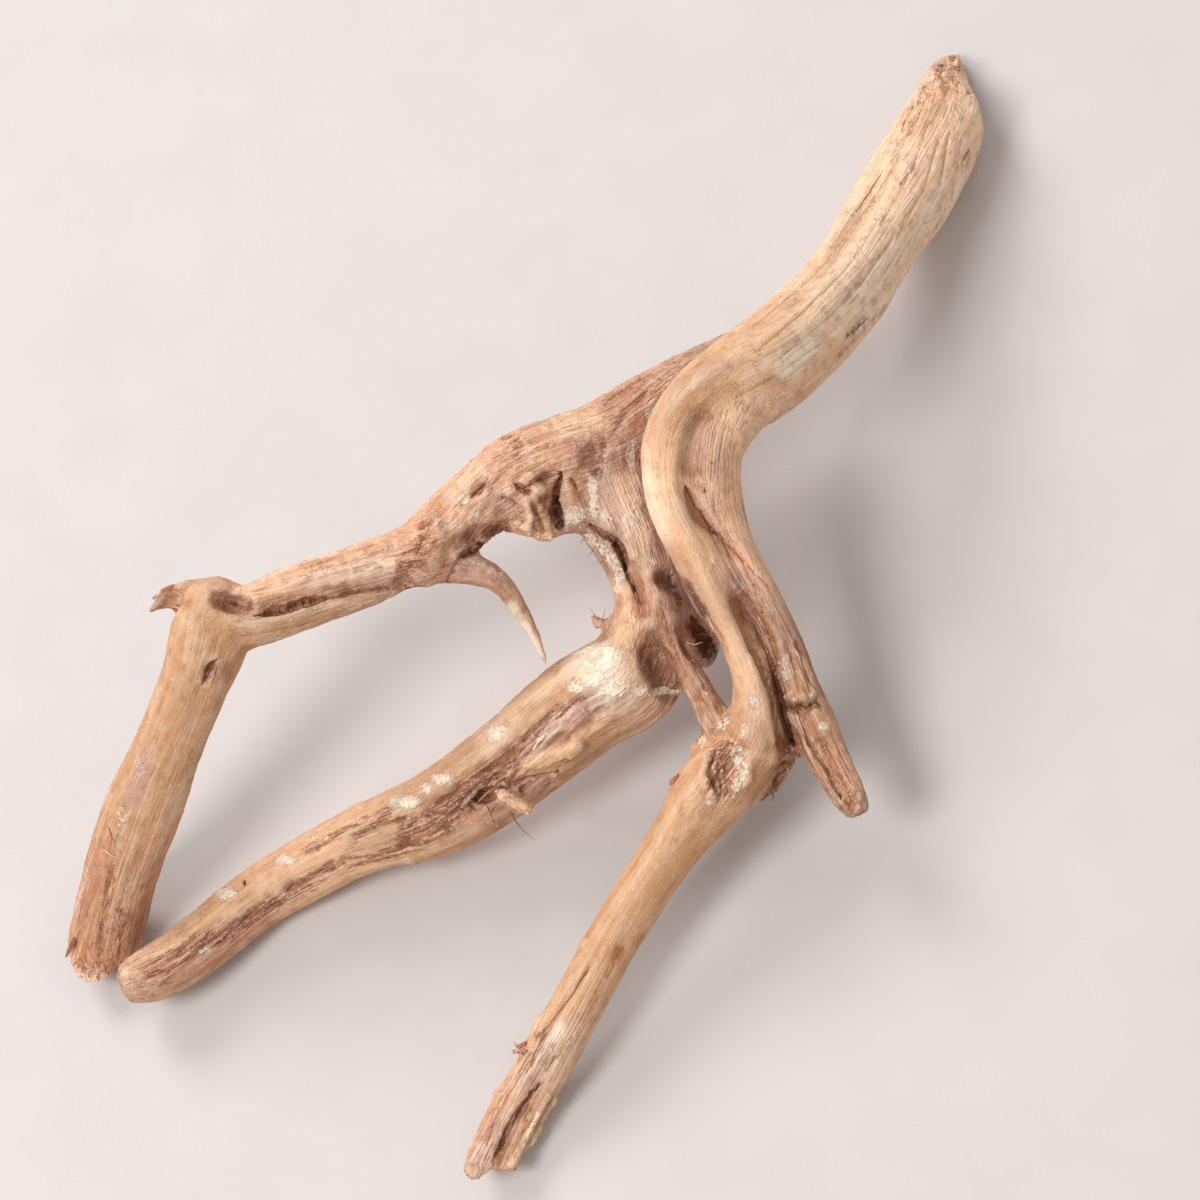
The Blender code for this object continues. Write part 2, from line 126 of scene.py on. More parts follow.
@dataclass(frozen=True)
class Drawing:
    """The view that the branch was drawn in, leaning, and the turn that lays it down.

    A drawn place is (across, up) in millimetres on a plane through the middle of the ground. A spot is the
    same place counted in the picture's pixels, from its upper left corner.
    """

    eye_distance: float = 702.0
    eye_elevation: float = math.radians(44.6)
    rest_back: float = math.radians(-19.1)
    rest_side: float = math.radians(11.6)
    laid_shift: tuple[float, float, float] = (1.318, 20.403, -37.284)
    spots_per_mm: float = 6.41
    middle_spot: float = 600.0
    lens: float = 135.0
    sensor: float = 36.0

    @property
    def back(self) -> Vector:
        """The direction from the branch to the eye, in the leaning pose."""
        return Vector((0, -math.cos(self.eye_elevation), math.sin(self.eye_elevation)))

    @property
    def up(self) -> Vector:
        """The picture's up direction, in the leaning pose."""
        return Vector((0, math.sin(self.eye_elevation), math.cos(self.eye_elevation)))

    @property
    def eye(self) -> Vector:
        """The eye's place, in the leaning pose."""
        return self.back * self.eye_distance

    @property
    def lie_down(self) -> Matrix:
        """The turn from the leaning pose to the resting one."""
        return Matrix.Rotation(self.rest_side, 3, "Y") @ Matrix.Rotation(self.rest_back, 3, "X")

    def leaning(self, points: Array) -> Array:
        """The resting points as they stand in the leaning pose."""
        return (points - np.array(self.laid_shift)) @ np.array(self.lie_down)

    def resting(self, points: Array) -> Array:
        """The leaning points as they lie in the resting pose."""
        return points @ np.array(self.lie_down).T + np.array(self.laid_shift)

    def placed(self, across: float, up: float, height: float, half_width: float) -> tuple[Vector, float]:
        """The leaning point of a station on its sight line, and the radius there.

        Args:
            across: Drawn millimetres to the right.
            up: Drawn millimetres up.
            height: The point's height above the ground.
            half_width: Half of the limb's drawn width.

        Returns:
            The point and the limb's radius at it.
        """
        on_plane = Vector((across, 0, 0)) + self.up * up
        share = (self.eye.z - height) / (self.eye.z - on_plane.z)
        return self.eye.lerp(on_plane, share), half_width * share

    def as_drawn(self, leaning: Array) -> Array:
        """Across and up of leaning points.

        Args:
            leaning: Points in the leaning pose.

        Returns:
            Two columns, across and up.
        """
        from_eye = leaning - np.array(self.eye)
        away = -from_eye @ np.array(self.back)
        scale = self.eye_distance / away
        return np.stack([from_eye[:, 0] * scale, from_eye @ np.array(self.up) * scale], axis=1)

    def from_spot(self, spot: Spot) -> Array:
        """Across and up of a spot."""
        u, v = spot
        return np.array((u - self.middle_spot, self.middle_spot - v)) / self.spots_per_mm

    def camera_matrix(self) -> Matrix:
        """The camera's place in metres, turned down with the branch.

        Returns:
            Its matrix in the world.
        """
        right = Vector((1, 0, 0))
        axes = Matrix((right, self.up, self.back)).transposed().to_4x4()
        leaning = Matrix.Translation(self.eye) @ axes
        laid = Matrix.Translation(Vector(self.laid_shift)) @ self.lie_down.to_4x4() @ leaning
        laid.translation *= MM
        return laid


DRAWING = Drawing()


class Noise:
    """Smooth seeded noise, from about -1 to 1, at arrays of points."""

    period = 256
    gain = 1.6
    layer_shift = 17.3

    def __init__(self, seed: int) -> None:
        """Draws the lattice.

        Args:
            seed: The same seed gives the same noise.
        """
        draw = np.random.default_rng(seed)
        self.order = np.tile(draw.permutation(self.period), 3)
        self.slopes = unit(draw.normal(size=(self.period, 3))).astype(np.float32)

    def at(self, points: Array) -> Array:
        """The noise at each point, with features about one unit wide.

        Args:
            points: The places.

        Returns:
            One value a point.
        """
        cell = np.floor(points).astype(np.int64)
        inner = (points - cell).astype(np.float32)
        cell &= self.period - 1
        fade = inner**3 * (inner * (inner * 6 - 15) + 10)
        total = np.zeros(len(points), np.float32)
        for corner in np.ndindex(2, 2, 2):
            key = self.order[cell[:, 0] + corner[0]] + cell[:, 1] + corner[1]
            key = self.order[self.order[key] + cell[:, 2] + corner[2]] & (self.period - 1)
            rise = ((inner - np.array(corner, np.float32)) * self.slopes[key]).sum(axis=1)
            weight = np.prod(np.where(corner, fade, 1 - fade), axis=1)
            total += rise * weight
        return total * self.gain

    def rough(self, points: Array, octaves: int = 3, gain: float = 0.5) -> Array:
        """Noise with finer noise added over it.

        Args:
            points: The places.
            octaves: How many layers, each twice as fine as the last.
            gain: The strength of each layer against the last.

        Returns:
            One value a point, from about -1 to 1.
        """
        total = np.zeros(len(points), np.float32)
        strength = 1.0
        reach = 0.0
        for layer in range(octaves):
            total += strength * self.at(points * 2.0**layer + self.layer_shift * layer)
            reach += strength
            strength *= gain
        return total / reach


BROAD = Noise(11)
FINE = Noise(23)
FRAY = (Noise(31), Noise(37))
LUMPS = Noise(41)
SPOTS = Noise(53)


class Wood(Enum):
    """The colours of the bare wood and of what lies on it."""

    PALE_TAN = paint(253, 210, 173)
    YELLOW_TAN = paint(200, 147, 102)
    CREAM = paint(252, 232, 208)
    HONEY = paint(196, 147, 107)
    LIGHT_HONEY = paint(230, 180, 139)
    PINK_TAN = paint(236, 179, 144)
    RED_BROWN = paint(190, 124, 93)
    ORANGE_BROWN = paint(196, 136, 97)
    MAUVE = paint(192, 147, 128)
    GREY_BROWN = paint(174, 119, 86)
    BARK_BROWN = paint(146, 96, 72)
    DARK_BROWN = paint(84, 50, 34)
    CRUST = paint(252, 236, 214)
    GREY_CRUST = paint(234, 210, 184)


(
    PALE_TAN, YELLOW_TAN, CREAM, HONEY, LIGHT_HONEY, PINK_TAN, RED_BROWN, ORANGE_BROWN, MAUVE, GREY_BROWN,
    BARK_BROWN, DARK_BROWN, CRUST, GREY_CRUST,
) = Wood


@dataclass(frozen=True)
class Strand:
    """One run of wood whose grain flows on, drawn as a limb line.

    Each station is across, up, height above the ground and half of the width as drawn. A colour stop is a
    share of the strand's length and the colour of the wood there.
    """

    name: str
    channel: int
    stations: tuple[Station, ...]
    stops: tuple[tuple[float, Wood], ...]
    flutes: float = 0.16
    fibres: float = 0.05
    gnarl: float = 0.1
    coarse: tuple[tuple[float, float], ...] = ((0.0, 0.8), (1.0, 0.8))


STRANDS = (
    Strand("trunk and front leg", 0, (
        (55.6, 84.9, 69.5, 0.8), (54.3, 82.4, 69.3, 2.8), (53.3, 76.4, 68.8, 5.8), (52.7, 72.9, 68.6, 7.2),
        (48.2, 63.8, 68.0, 7.4), (43.0, 56.2, 67.5, 7.1), (37.9, 48.5, 67.3, 7.0), (32.7, 42.6, 67.5, 7.6),
        (25.7, 36.5, 68.3, 6.9), (17.9, 33.1, 69.0, 5.5), (13.1, 29.3, 68.5, 4.7), (10.6, 24.5, 66.5, 4.1),
        (10.1, 18.4, 64.0, 3.5), (11.7, 12.6, 61.0, 3.6), (14.4, 8.1, 58.0, 3.9), (17.6, 0.9, 54.0, 3.9),
        (20.6, -4.4, 51.0, 3.0), (23.4, -10.6, 47.0, 3.2), (24.3, -15.6, 44.0, 3.7), (23.7, -21.0, 40.5, 4.8),
        (18.2, -29.1, 35.5, 6.2), (11.6, -38.2, 30.0, 4.6), (6.0, -46.6, 25.0, 4.4), (1.2, -54.6, 20.3, 4.3),
        (-4.6, -65.4, 14.0, 4.2), (-9.0, -73.2, 9.3, 4.3), (-12.8, -79.9, 4.2, 4.4),
        (-17.6, -89.8, -0.9, 5.1),
    ), (
        # Light honey between the honey stops, from 0.49 to 0.6, is a painted highlight on the middle of the
        # front limb.
        (0.0, ORANGE_BROWN), (0.05, PALE_TAN), (0.3, PALE_TAN), (0.35, LIGHT_HONEY), (0.44, HONEY),
        (0.49, LIGHT_HONEY), (0.6, LIGHT_HONEY), (0.64, HONEY), (0.68, YELLOW_TAN), (0.84, YELLOW_TAN),
        (0.92, LIGHT_HONEY), (1.0, PINK_TAN),
    ), coarse=(
        (0.0, 0.65), (0.04, 0.5), (0.28, 0.5), (0.36, 0.25), (0.62, 0.15), (0.84, 0.2), (0.9, 0.7), (1.0, 0.9),
    ), gnarl=0.05, fibres=0.04),
    Strand("spur limb", 2, (
        (25.3, 35.6, 65.0, 5.5), (20.3, 29.3, 66.0, 5.8), (18.1, 23.4, 64.5, 4.5), (17.8, 17.2, 61.0, 4.2),
        (19.8, 8.6, 56.5, 4.1), (23.9, 0.6, 52.0, 3.9), (27.9, -7.0, 47.0, 3.8), (31.0, -14.4, 43.6, 3.6),
        (33.2, -19.7, 41.2, 3.9), (36.0, -25.3, 38.8, 3.4), (38.7, -30.0, 37.0, 3.0),
        (40.6, -33.4, 35.8, 2.1),
    ), (
        (0.0, PALE_TAN), (0.35, LIGHT_HONEY), (0.52, PINK_TAN), (0.64, GREY_BROWN), (1.0, GREY_BROWN),
    ), coarse=(
        (0.0, 0.7), (0.5, 0.5), (1.0, 0.5),
    ), flutes=0.22, fibres=0.06),
    Strand("side ridge", 1, (
        (33.0, 43.0, 67.0, 3.6), (26.5, 39.3, 63.0, 4.8), (17.9, 35.6, 59.5, 5.0), (8.6, 29.3, 59.0, 6.6),
        (0.0, 23.4, 59.0, 7.3), (-6.2, 21.5, 59.0, 7.0), (-12.5, 19.3, 59.0, 7.0), (-18.1, 16.1, 58.0, 5.8),
        (-22.2, 12.5, 56.5, 5.6), (-26.0, 8.6, 55.8, 5.7), (-31.2, 6.9, 55.5, 4.3), (-39.8, 4.8, 55.2, 3.3),
        (-48.2, 2.5, 54.8, 2.9), (-55.6, -0.2, 54.2, 1.6),
    ), (
        (0.0, RED_BROWN), (0.16, MAUVE), (0.3, PINK_TAN), (0.75, PINK_TAN), (1.0, PALE_TAN),
    ), coarse=(
        (0.0, 0.9), (0.5, 0.65), (1.0, 0.5),
    ), flutes=0.24, fibres=0.09, gnarl=0.28),
    Strand("side limb", 2, (
        (-25.0, 5.9, 54.5, 3.6), (-36.0, 2.0, 53.0, 3.0), (-42.3, 0.3, 52.6, 3.4), (-49.2, -2.0, 52.2, 3.9),
        (-55.2, -3.0, 52.0, 4.8), (-60.3, -2.0, 51.5, 5.8), (-66.0, 0.0, 51.0, 5.0),
    ), (
        (0.0, MAUVE), (0.35, HONEY), (1.0, HONEY),
    ), coarse=(
        (0.0, 0.8), (0.5, 0.45), (1.0, 0.3),
    ), flutes=0.18, fibres=0.05),
    Strand("side leg", 0, (
        (-59.0, 4.0, 53.0, 5.0), (-60.3, -2.0, 51.0, 5.8), (-61.5, -7.0, 49.0, 6.2),
        (-63.1, -12.4, 44.6, 5.5), (-67.1, -22.2, 35.5, 5.5), (-70.5, -30.7, 27.0, 6.0),
        (-73.8, -39.8, 18.0, 5.9), (-76.1, -47.6, 8.2, 5.9), (-77.7, -55.5, 0.0, 6.3),
    ), (
        (0.0, HONEY), (0.45, HONEY), (0.62, HONEY), (0.78, ORANGE_BROWN), (1.0, ORANGE_BROWN),
    ), coarse=(
        (0.0, 0.15), (0.3, 0.18), (0.55, 0.25), (0.72, 0.5), (1.0, 0.5),
    ), flutes=0.16, fibres=0.05),
    Strand("middle leg", 2, (
        (0.0, 23.4, 57.0, 6.5), (1.6, 17.8, 55.5, 6.9), (3.4, 13.2, 53.6, 6.8), (5.9, 7.8, 51.0, 6.0),
        (7.5, 0.8, 47.5, 5.3), (7.2, -6.0, 44.5, 6.4), (5.1, -11.6, 41.0, 8.2), (-1.2, -15.4, 37.5, 8.0),
        (-6.2, -19.4, 34.3, 7.8), (-12.4, -24.4, 30.5, 7.2), (-18.7, -29.2, 26.5, 7.1),
        (-25.0, -33.1, 23.0, 6.8), (-31.2, -35.5, 20.0, 6.2), (-37.4, -37.8, 17.0, 5.5),
        (-42.9, -40.4, 14.5, 5.1), (-53.0, -46.1, 9.8, 4.8), (-61.4, -52.8, 7.0, 4.8),
        (-67.4, -57.2, 6.0, 4.6), (-71.8, -59.2, 5.8, 4.0), (-74.8, -60.4, 5.6, 2.7),
    ), (
        (0.0, MAUVE), (0.2, MAUVE), (0.3, HONEY), (0.45, HONEY), (0.7, LIGHT_HONEY), (1.0, ORANGE_BROWN),
    ), coarse=(
        (0.0, 0.5), (0.3, 0.35), (0.6, 0.3), (0.85, 0.35), (1.0, 0.6),
    ), flutes=0.2, fibres=0.05),
    Strand("strut", 1, (
        (6.2, 6.7, 50.0, 4.0), (8.1, 0.0, 48.0, 4.0), (10.6, -5.0, 46.3, 3.2), (13.1, -9.7, 44.6, 2.4),
        (15.6, -14.4, 42.5, 2.3), (18.4, -19.5, 40.3, 2.8), (20.3, -22.6, 39.0, 3.4),
    ), (
        (0.0, MAUVE), (0.4, GREY_BROWN), (0.9, GREY_BROWN), (1.0, PALE_TAN),
    ), coarse=(
        (0.0, 0.35), (1.0, 0.5),
    ), flutes=0.1, gnarl=0.2),
    Strand("hanging root", 2, (
        (-26.5, 6.2, 54.5, 3.2), (-21.5, 4.7, 54.0, 2.4), (-17.4, 4.0, 53.4, 2.3), (-14.6, 1.6, 51.6, 1.8),
        (-12.2, -2.0, 49.0, 1.5), (-10.2, -5.6, 46.6, 1.2), (-8.9, -8.6, 44.8, 0.9), (-8.0, -11.0, 43.4, 0.5),
    ), (
        (0.0, GREY_BROWN), (0.5, GREY_BROWN), (0.68, LIGHT_HONEY), (0.95, PALE_TAN), (1.0, RED_BROWN),
    ), coarse=(
        (0.0, 0.3), (1.0, 0.35),
    ), flutes=0.06, gnarl=0.12),
)


class StrandLine:
    """A strand's smooth middle line, with a frame of two side axes carried along it."""

    step = 1.2
    batch = 50000

    def __init__(self, strand: Strand) -> None:
        """Reads the line through the strand's stations.

        Args:
            strand: The strand to follow.
        """
        self.strand = strand
        placed = [DRAWING.placed(*station) for station in strand.stations]
        points = np.array([point for point, _ in placed])
        radii = np.array([radius for _, radius in placed])
        knots = np.concatenate([[0], np.cumsum(np.linalg.norm(np.diff(points, axis=0), axis=1))])
        self.length = float(knots[-1])
        count = max(4, round(self.length / self.step))
        self.along = np.linspace(0, self.length, count)
        self.points = self._smooth(knots, points, self.along)
        self.radii = np.interp(self.along, knots, radii)
        self.tangents = unit(np.gradient(self.points, axis=0))
        self.sides = self._carried_sides()

    @staticmethod
    def _smooth(knots: Array, points: Array, along: Array) -> Array:
        """The points read off a cubic curve through the knots.

        Args:
            knots: How far along the line each station is.
            points: The stations.
            along: How far along the line the points are wanted.

        Returns:
            The points.
        """
        slopes = np.gradient(points, knots, axis=0)
        index = np.clip(np.searchsorted(knots, along, side="right") - 1, 0, len(knots) - 2)
        span = (knots[index + 1] - knots[index])[:, None]
        t = (along - knots[index])[:, None] / span
        start, end = points[index], points[index + 1]
        return (
            start * (1 + 2 * t) * (1 - t) ** 2
            + slopes[index] * span * t * (1 - t) ** 2
            + end * t**2 * (3 - 2 * t)
            + slopes[index + 1] * span * t**2 * (t - 1)
        )

    def _carried_sides(self) -> Array:
        """A side axis at each point, turned as little as possible from one to the next.

        Returns:
            The axes.
        """
        side = np.cross(self.tangents[0], np.array(DRAWING.back))
        sides = []
        for tangent in self.tangents:
            side = side - tangent * (side @ tangent)
            side = side / np.linalg.norm(side)
            sides.append(side)
        return np.array(sides)

    def grain(self, leaning: Array) -> tuple[Array, Array, Array]:
        """Where points lie along and around the strand.

        Args:
            leaning: Points in the leaning pose.

        Returns:
            The grain place (along, side, depth), the share of the strand's length, and how far each point is
            outside the strand's drawn surface.
        """
        nearest = np.empty(len(leaning), np.int64)
        squares = (self.points**2).sum(axis=1)
        for low in range(0, len(leaning), self.batch):
            part = leaning[low : low + self.batch]
            nearest[low : low + self.batch] = np.argmin(squares - 2 * part @ self.points.T, axis=1)
        offset = leaning - self.points[nearest]
        slide = (offset * self.tangents[nearest]).sum(axis=1)
        slide = np.clip(slide, -self.step, self.step)
        place = self.along[nearest] + slide
        index = np.clip(np.searchsorted(self.along, place) - 1, 0, len(self.along) - 2)
        share = np.clip((place - self.along[index]) / (self.along[1] - self.along[0]), 0, 1)[:, None]
        middle = self.points[index] * (1 - share) + self.points[index + 1] * share
        side = self.sides[index] * (1 - share) + self.sides[index + 1] * share
        tangent = self.tangents[index] * (1 - share) + self.tangents[index + 1] * share
        depth = np.cross(tangent, side)
        offset = leaning - middle
        radius = np.interp(place, self.along, self.radii)
        outside = np.linalg.norm(offset, axis=1) - radius
        grain = np.stack([place, (offset * side).sum(axis=1), (offset * depth).sum(axis=1)], axis=1)
        return grain, place / self.length, outside

    def colours(self, share: Array) -> Array:
        """The wood's own colour at shares of the strand's length.

        Args:
            share: The shares.

        Returns:
            One colour a share.
        """
        at = [stop for stop, _ in self.strand.stops]
        table = np.array([colour.value for _, colour in self.strand.stops])
        return np.stack([np.interp(share, at, table[:, i]) for i in range(3)], axis=1)


@dataclass
class GrainMap:
    """The grain of every point of a mesh: three channels of strands, blended where they meet."""

    blend_width: float = 0.9
    least_blend: float = 0.05
    least_weight: float = 0.01
    strand_gap: float = 500.0
    places: list[Array] = field(default_factory=list)
    weights: Array | None = None
    colours: Array | None = None
    flutes: Array | None = None
    fibres: Array | None = None
    gnarl: Array | None = None
    coarse: Array | None = None

    def read(self, leaning: Array) -> None:
        """Works the grain out.

        Args:
            leaning: The mesh's points in the leaning pose.
        """
        count = len(leaning)
        closest = np.full((3, count), np.inf)
        self.places = [np.zeros((count, 3)) for _ in range(3)]
        colours = np.zeros((3, count, 3))
        traits = {name: np.zeros((3, count)) for name in ("flutes", "fibres", "gnarl", "coarse")}
        for number, strand in enumerate(STRANDS):
            line = StrandLine(strand)
            place, share, outside = line.grain(leaning)
            place[:, 0] += self.strand_gap * number
            channel = strand.channel
            better = outside < closest[channel]
            closest[channel][better] = outside[better]
            self.places[channel][better] = place[better]
            colours[channel][better] = line.colours(share[better])
            log.debug("%s: grain read", strand.name)
            for name in ("flutes", "fibres", "gnarl"):
                traits[name][channel][better] = getattr(strand, name)
            traits["coarse"][channel][better] = np.interp(share[better], *zip(*strand.coarse))
        nearness = closest - closest.min(axis=0)
        weights = smooth_step(self.least_blend, 1.0, np.exp(-nearness / self.blend_width))
        self.weights = weights / weights.sum(axis=0)
        self.colours = (colours * self.weights[:, :, None]).sum(axis=0)
        for name, values in traits.items():
            setattr(self, name, (values * self.weights).sum(axis=0))

    def noise(self, noise: Noise, along: float, across: float, octaves: int = 2) -> Array:
        """Noise drawn out along the grain.

        Args:
            noise: The noise to read.
            along: The length of its features along the grain.
            across: Their width across it.
            octaves: Layers of the noise.

        Returns:
            One value a point.
        """
        total = np.zeros(len(self.places[0]), np.float32)
        stretch = np.array((1 / along, 1 / across, 1 / across))
        for place, weight in zip(self.places, self.weights):
            used = weight > self.least_weight
            total[used] += weight[used] * noise.rough(place[used] * stretch, octaves)
        return total


class Mesh:
    """A mesh held as arrays of points and quads or triangles."""

    def __init__(self, data: bpy.types.Mesh) -> None:
        """Reads a mesh.

        Args:
            data: A mesh in millimetres.
        """
        self.data = data
        self.points = np.empty(len(data.vertices) * 3)
        data.vertices.foreach_get("co", self.points)
        self.points = self.points.reshape(-1, 3)
        edges = np.empty(len(data.edges) * 2, np.int64)
        data.edges.foreach_get("vertices", edges)
        self.edges = edges.reshape(-1, 2)

    def normals(self) -> Array:
        """The outward direction at each point.

        Returns:
            One row a point.
        """
        self.write()
        normals = np.empty(len(self.points) * 3)
        self.data.vertices.foreach_get("normal", normals)
        return normals.reshape(-1, 3)

    def write(self) -> None:
        """Puts the points back into the mesh."""
        self.data.vertices.foreach_set("co", self.points.ravel())
        self.data.update()

    def averaged(self, values: Array) -> Array:
        """The mean of each point's neighbours' values.

        Args:
            values: One row a point.

        Returns:
            One row a point.
        """
        count = np.bincount(self.edges.ravel(), minlength=len(self.points))
        total = np.empty_like(values)
        for axis in range(values.shape[1]):
            column = values[:, axis]
            other_ends = column[self.edges[:, ::-1].T.ravel()]
            total[:, axis] = np.bincount(self.edges.T.ravel(), other_ends, len(column))
        return total / np.maximum(count, 1)[:, None]

    def relax(self, passes: int, shrink: float = 0.5, swell: float = -0.52) -> None:
        """Smooths the points without shrinking the mesh.

        Args:
            passes: How many pairs of steps.
            shrink: The step towards the neighbours.
            swell: The step back.
        """
        for _ in range(passes):
            for step in (shrink, swell):
                self.points += step * (self.averaged(self.points) - self.points)


class Layer(Enum):
    """What a mark changes besides the shape."""

    TINT = "tint"
    CRUST = "crust"
    BARK = "bark"
    # Painted shade: dark brown inside pits and slits.
    DARK = "dark"
    SPLIT = "split"


@dataclass(frozen=True)
class Mark:
    """A patch, pit, ridge or crack on the side of the wood that the picture shows.

    The spots are its middle line. Width is half of its width in millimetres, and rise is how far it stands
    out of the wood, below zero for a cut. Soft is the share of the width over which it fades,
    and rough is how far torn fibres or lumps stand out in it.
    """

    spots: tuple[Spot, ...]
    width: float
    rise: float = 0.0
    layer: Layer = Layer.TINT
    colour: Wood | None = None
    strength: float = 1.0
    ragged: float = 0.25
    soft: float = 0.5
    taper: bool = False
    rough: float = 0.0
    least_span: ClassVar[float] = 1e-9
    least_taper: ClassVar[float] = 0.05

    def cover(self, drawn: Array, warp: Array) -> tuple[Array, Array, Array]:
        """How much of the mark lies on each point.

        Args:
            drawn: Across and up of the points.
            warp: Noise in two channels that frays the mark's outline.

        Returns:
            The numbers of the points that it touches, its cover there, and how far each lies to the left of
            its middle line.
        """
        line = np.array([DRAWING.from_spot(spot) for spot in self.spots])
        reach = self.width * (1 + self.soft) + self.ragged
        near = np.all((drawn > line.min(axis=0) - reach) & (drawn < line.max(axis=0) + reach), axis=1)
        index = np.flatnonzero(near)
        points = drawn[index] + warp[index] * self.ragged
        starts, ends = (line[:-1], line[1:]) if len(line) > 1 else (line, line)
        best = np.full(len(index), np.inf)
        place = np.zeros(len(index))
        left = np.zeros(len(index))
        for number, (start, end) in enumerate(zip(starts, ends)):
            span = end - start
            share = np.clip((points - start) @ span / max(span @ span, self.least_span), 0, 1)
            distance = np.linalg.norm(points - start - share[:, None] * span, axis=1)
            closer = distance < best
            best[closer] = distance[closer]
            place[closer] = (number + share[closer]) / len(starts)
            turn = span[0] * (points - start)[:, 1] - span[1] * (points - start)[:, 0]
            left[closer] = (np.sign(turn) * distance)[closer]
        width = np.full(len(index), self.width)
        if self.taper:
            width *= np.sqrt(np.clip(4 * place * (1 - place), self.least_taper, 1))
        return index, 1 - smooth_step(1 - self.soft, 1 + self.soft, best / width), left


def crust(u: float, v: float, wide: float, high: float, strength: float = 1.0) -> Mark:
    """A crust patch around a spot, longer along its longer side.

    Args:
        u: The middle spot's place from the left.
        v: Its place from the top.
        wide: The patch's width in spots.
        high: Its height in spots.
        strength: How much of the wood it hides.

    Returns:
        The mark.
    """
    half = min(wide, high) / 2
    line = max(wide, high) / 2 - half
    spots = ((u - line, v), (u + line, v)) if wide > high else ((u, v - line), (u, v + line))
    mark = Mark(spots, half / DRAWING.spots_per_mm, 0.06, Layer.CRUST, strength=strength)
    return replace(mark, ragged=0.6, soft=0.95, rough=0.3)


def crusted(width: float, strength: float, *spots: Spot, **changed: float) -> Mark:
    """A faint crust along a line, with the fields that are changed for it."""
    mark = Mark(spots, width, 0.0, Layer.CRUST, strength=strength, ragged=0.7, soft=0.6)
    return replace(mark, **changed)


def crack(width: float, depth: float, strength: float, *spots: Spot) -> Mark:
    """A hairline crack that thins out at both ends, in a furrow of a width and depth."""
    mark = Mark(spots, 1.6 * width, -0.6 * depth, Layer.SPLIT, strength=strength)
    return replace(mark, ragged=0.15, soft=0.7, taper=True)


# The dark of a pit is painted shade.
def hole(u: float, v: float, width: float, depth: float) -> Mark:
    """A dark pit."""
    return Mark(((u, v),), width, -depth, Layer.DARK, ragged=0.4, soft=0.8)


# The dark of a slit is painted shade in the opening.
def slit(width: float, depth: float, strength: float, *spots: Spot, **changed: float | bool) -> Mark:
    """A dark ragged opening that closes at both ends, with the fields that are changed for it."""
    mark = Mark(spots, width, -depth, Layer.DARK, strength=strength, ragged=0.35, soft=0.8)
    return replace(mark, **{"taper": True, "rough": 0.3, **changed})


def stain(colour: Wood, width: float, strength: float, *spots: Spot, **changed: float) -> Mark:
    """Wood of another colour, with a soft frayed edge and the fields that are changed for it."""
    mark = Mark(spots, width, colour=colour, strength=strength, ragged=0.6, soft=0.6)
    return replace(mark, **changed)


def bark(width: float, strength: float, *spots: Spot, **changed: float | Wood) -> Mark:
    """A torn strip where the brown under-bark shows, with the fields that are changed for it."""
    mark = Mark(spots, width, -0.15, Layer.BARK, strength=strength, ragged=0.7, rough=0.5)
    return replace(mark, **changed)


def bump(width: float, height: float, *spots: Spot) -> Mark:
    """A swelling of the wood."""
    return Mark(spots, width, height, strength=0.0, ragged=0.2, soft=0.8)


GRAIN_LINES = tuple(
    crack(0.16, 0.35, 0.45, *spots)
    for spots in (
        ((912, 122), (896, 164), (866, 214)), ((868, 206), (838, 252), (796, 292), (750, 330)),
        ((930, 120), (912, 172), (880, 226)), ((882, 216), (848, 268), (802, 314), (756, 352)),
        ((940, 136), (926, 186), (896, 240)), ((898, 230), (862, 284), (818, 328), (770, 366)),
        ((950, 130), (940, 188), (912, 246)), ((912, 236), (878, 296), (832, 342), (786, 380)),
        ((962, 138), (952, 196), (924, 254)), ((926, 240), (892, 300), (850, 346), (806, 384)),
        ((820, 344), (780, 374), (736, 398)), ((700, 510), (722, 556), (750, 606)),
        ((712, 504), (736, 552), (764, 604)), ((640, 366), (600, 386), (556, 408)),
        ((616, 368), (580, 386), (536, 410)), ((540, 424), (504, 440), (468, 462)),
        ((520, 410), (486, 428), (456, 452)), ((536, 440), (500, 456), (462, 484)),
        ((400, 536), (356, 552), (306, 568)), ((392, 548), (350, 562), (300, 577)),
        ((410, 552), (366, 566), (320, 578)),
    )
)
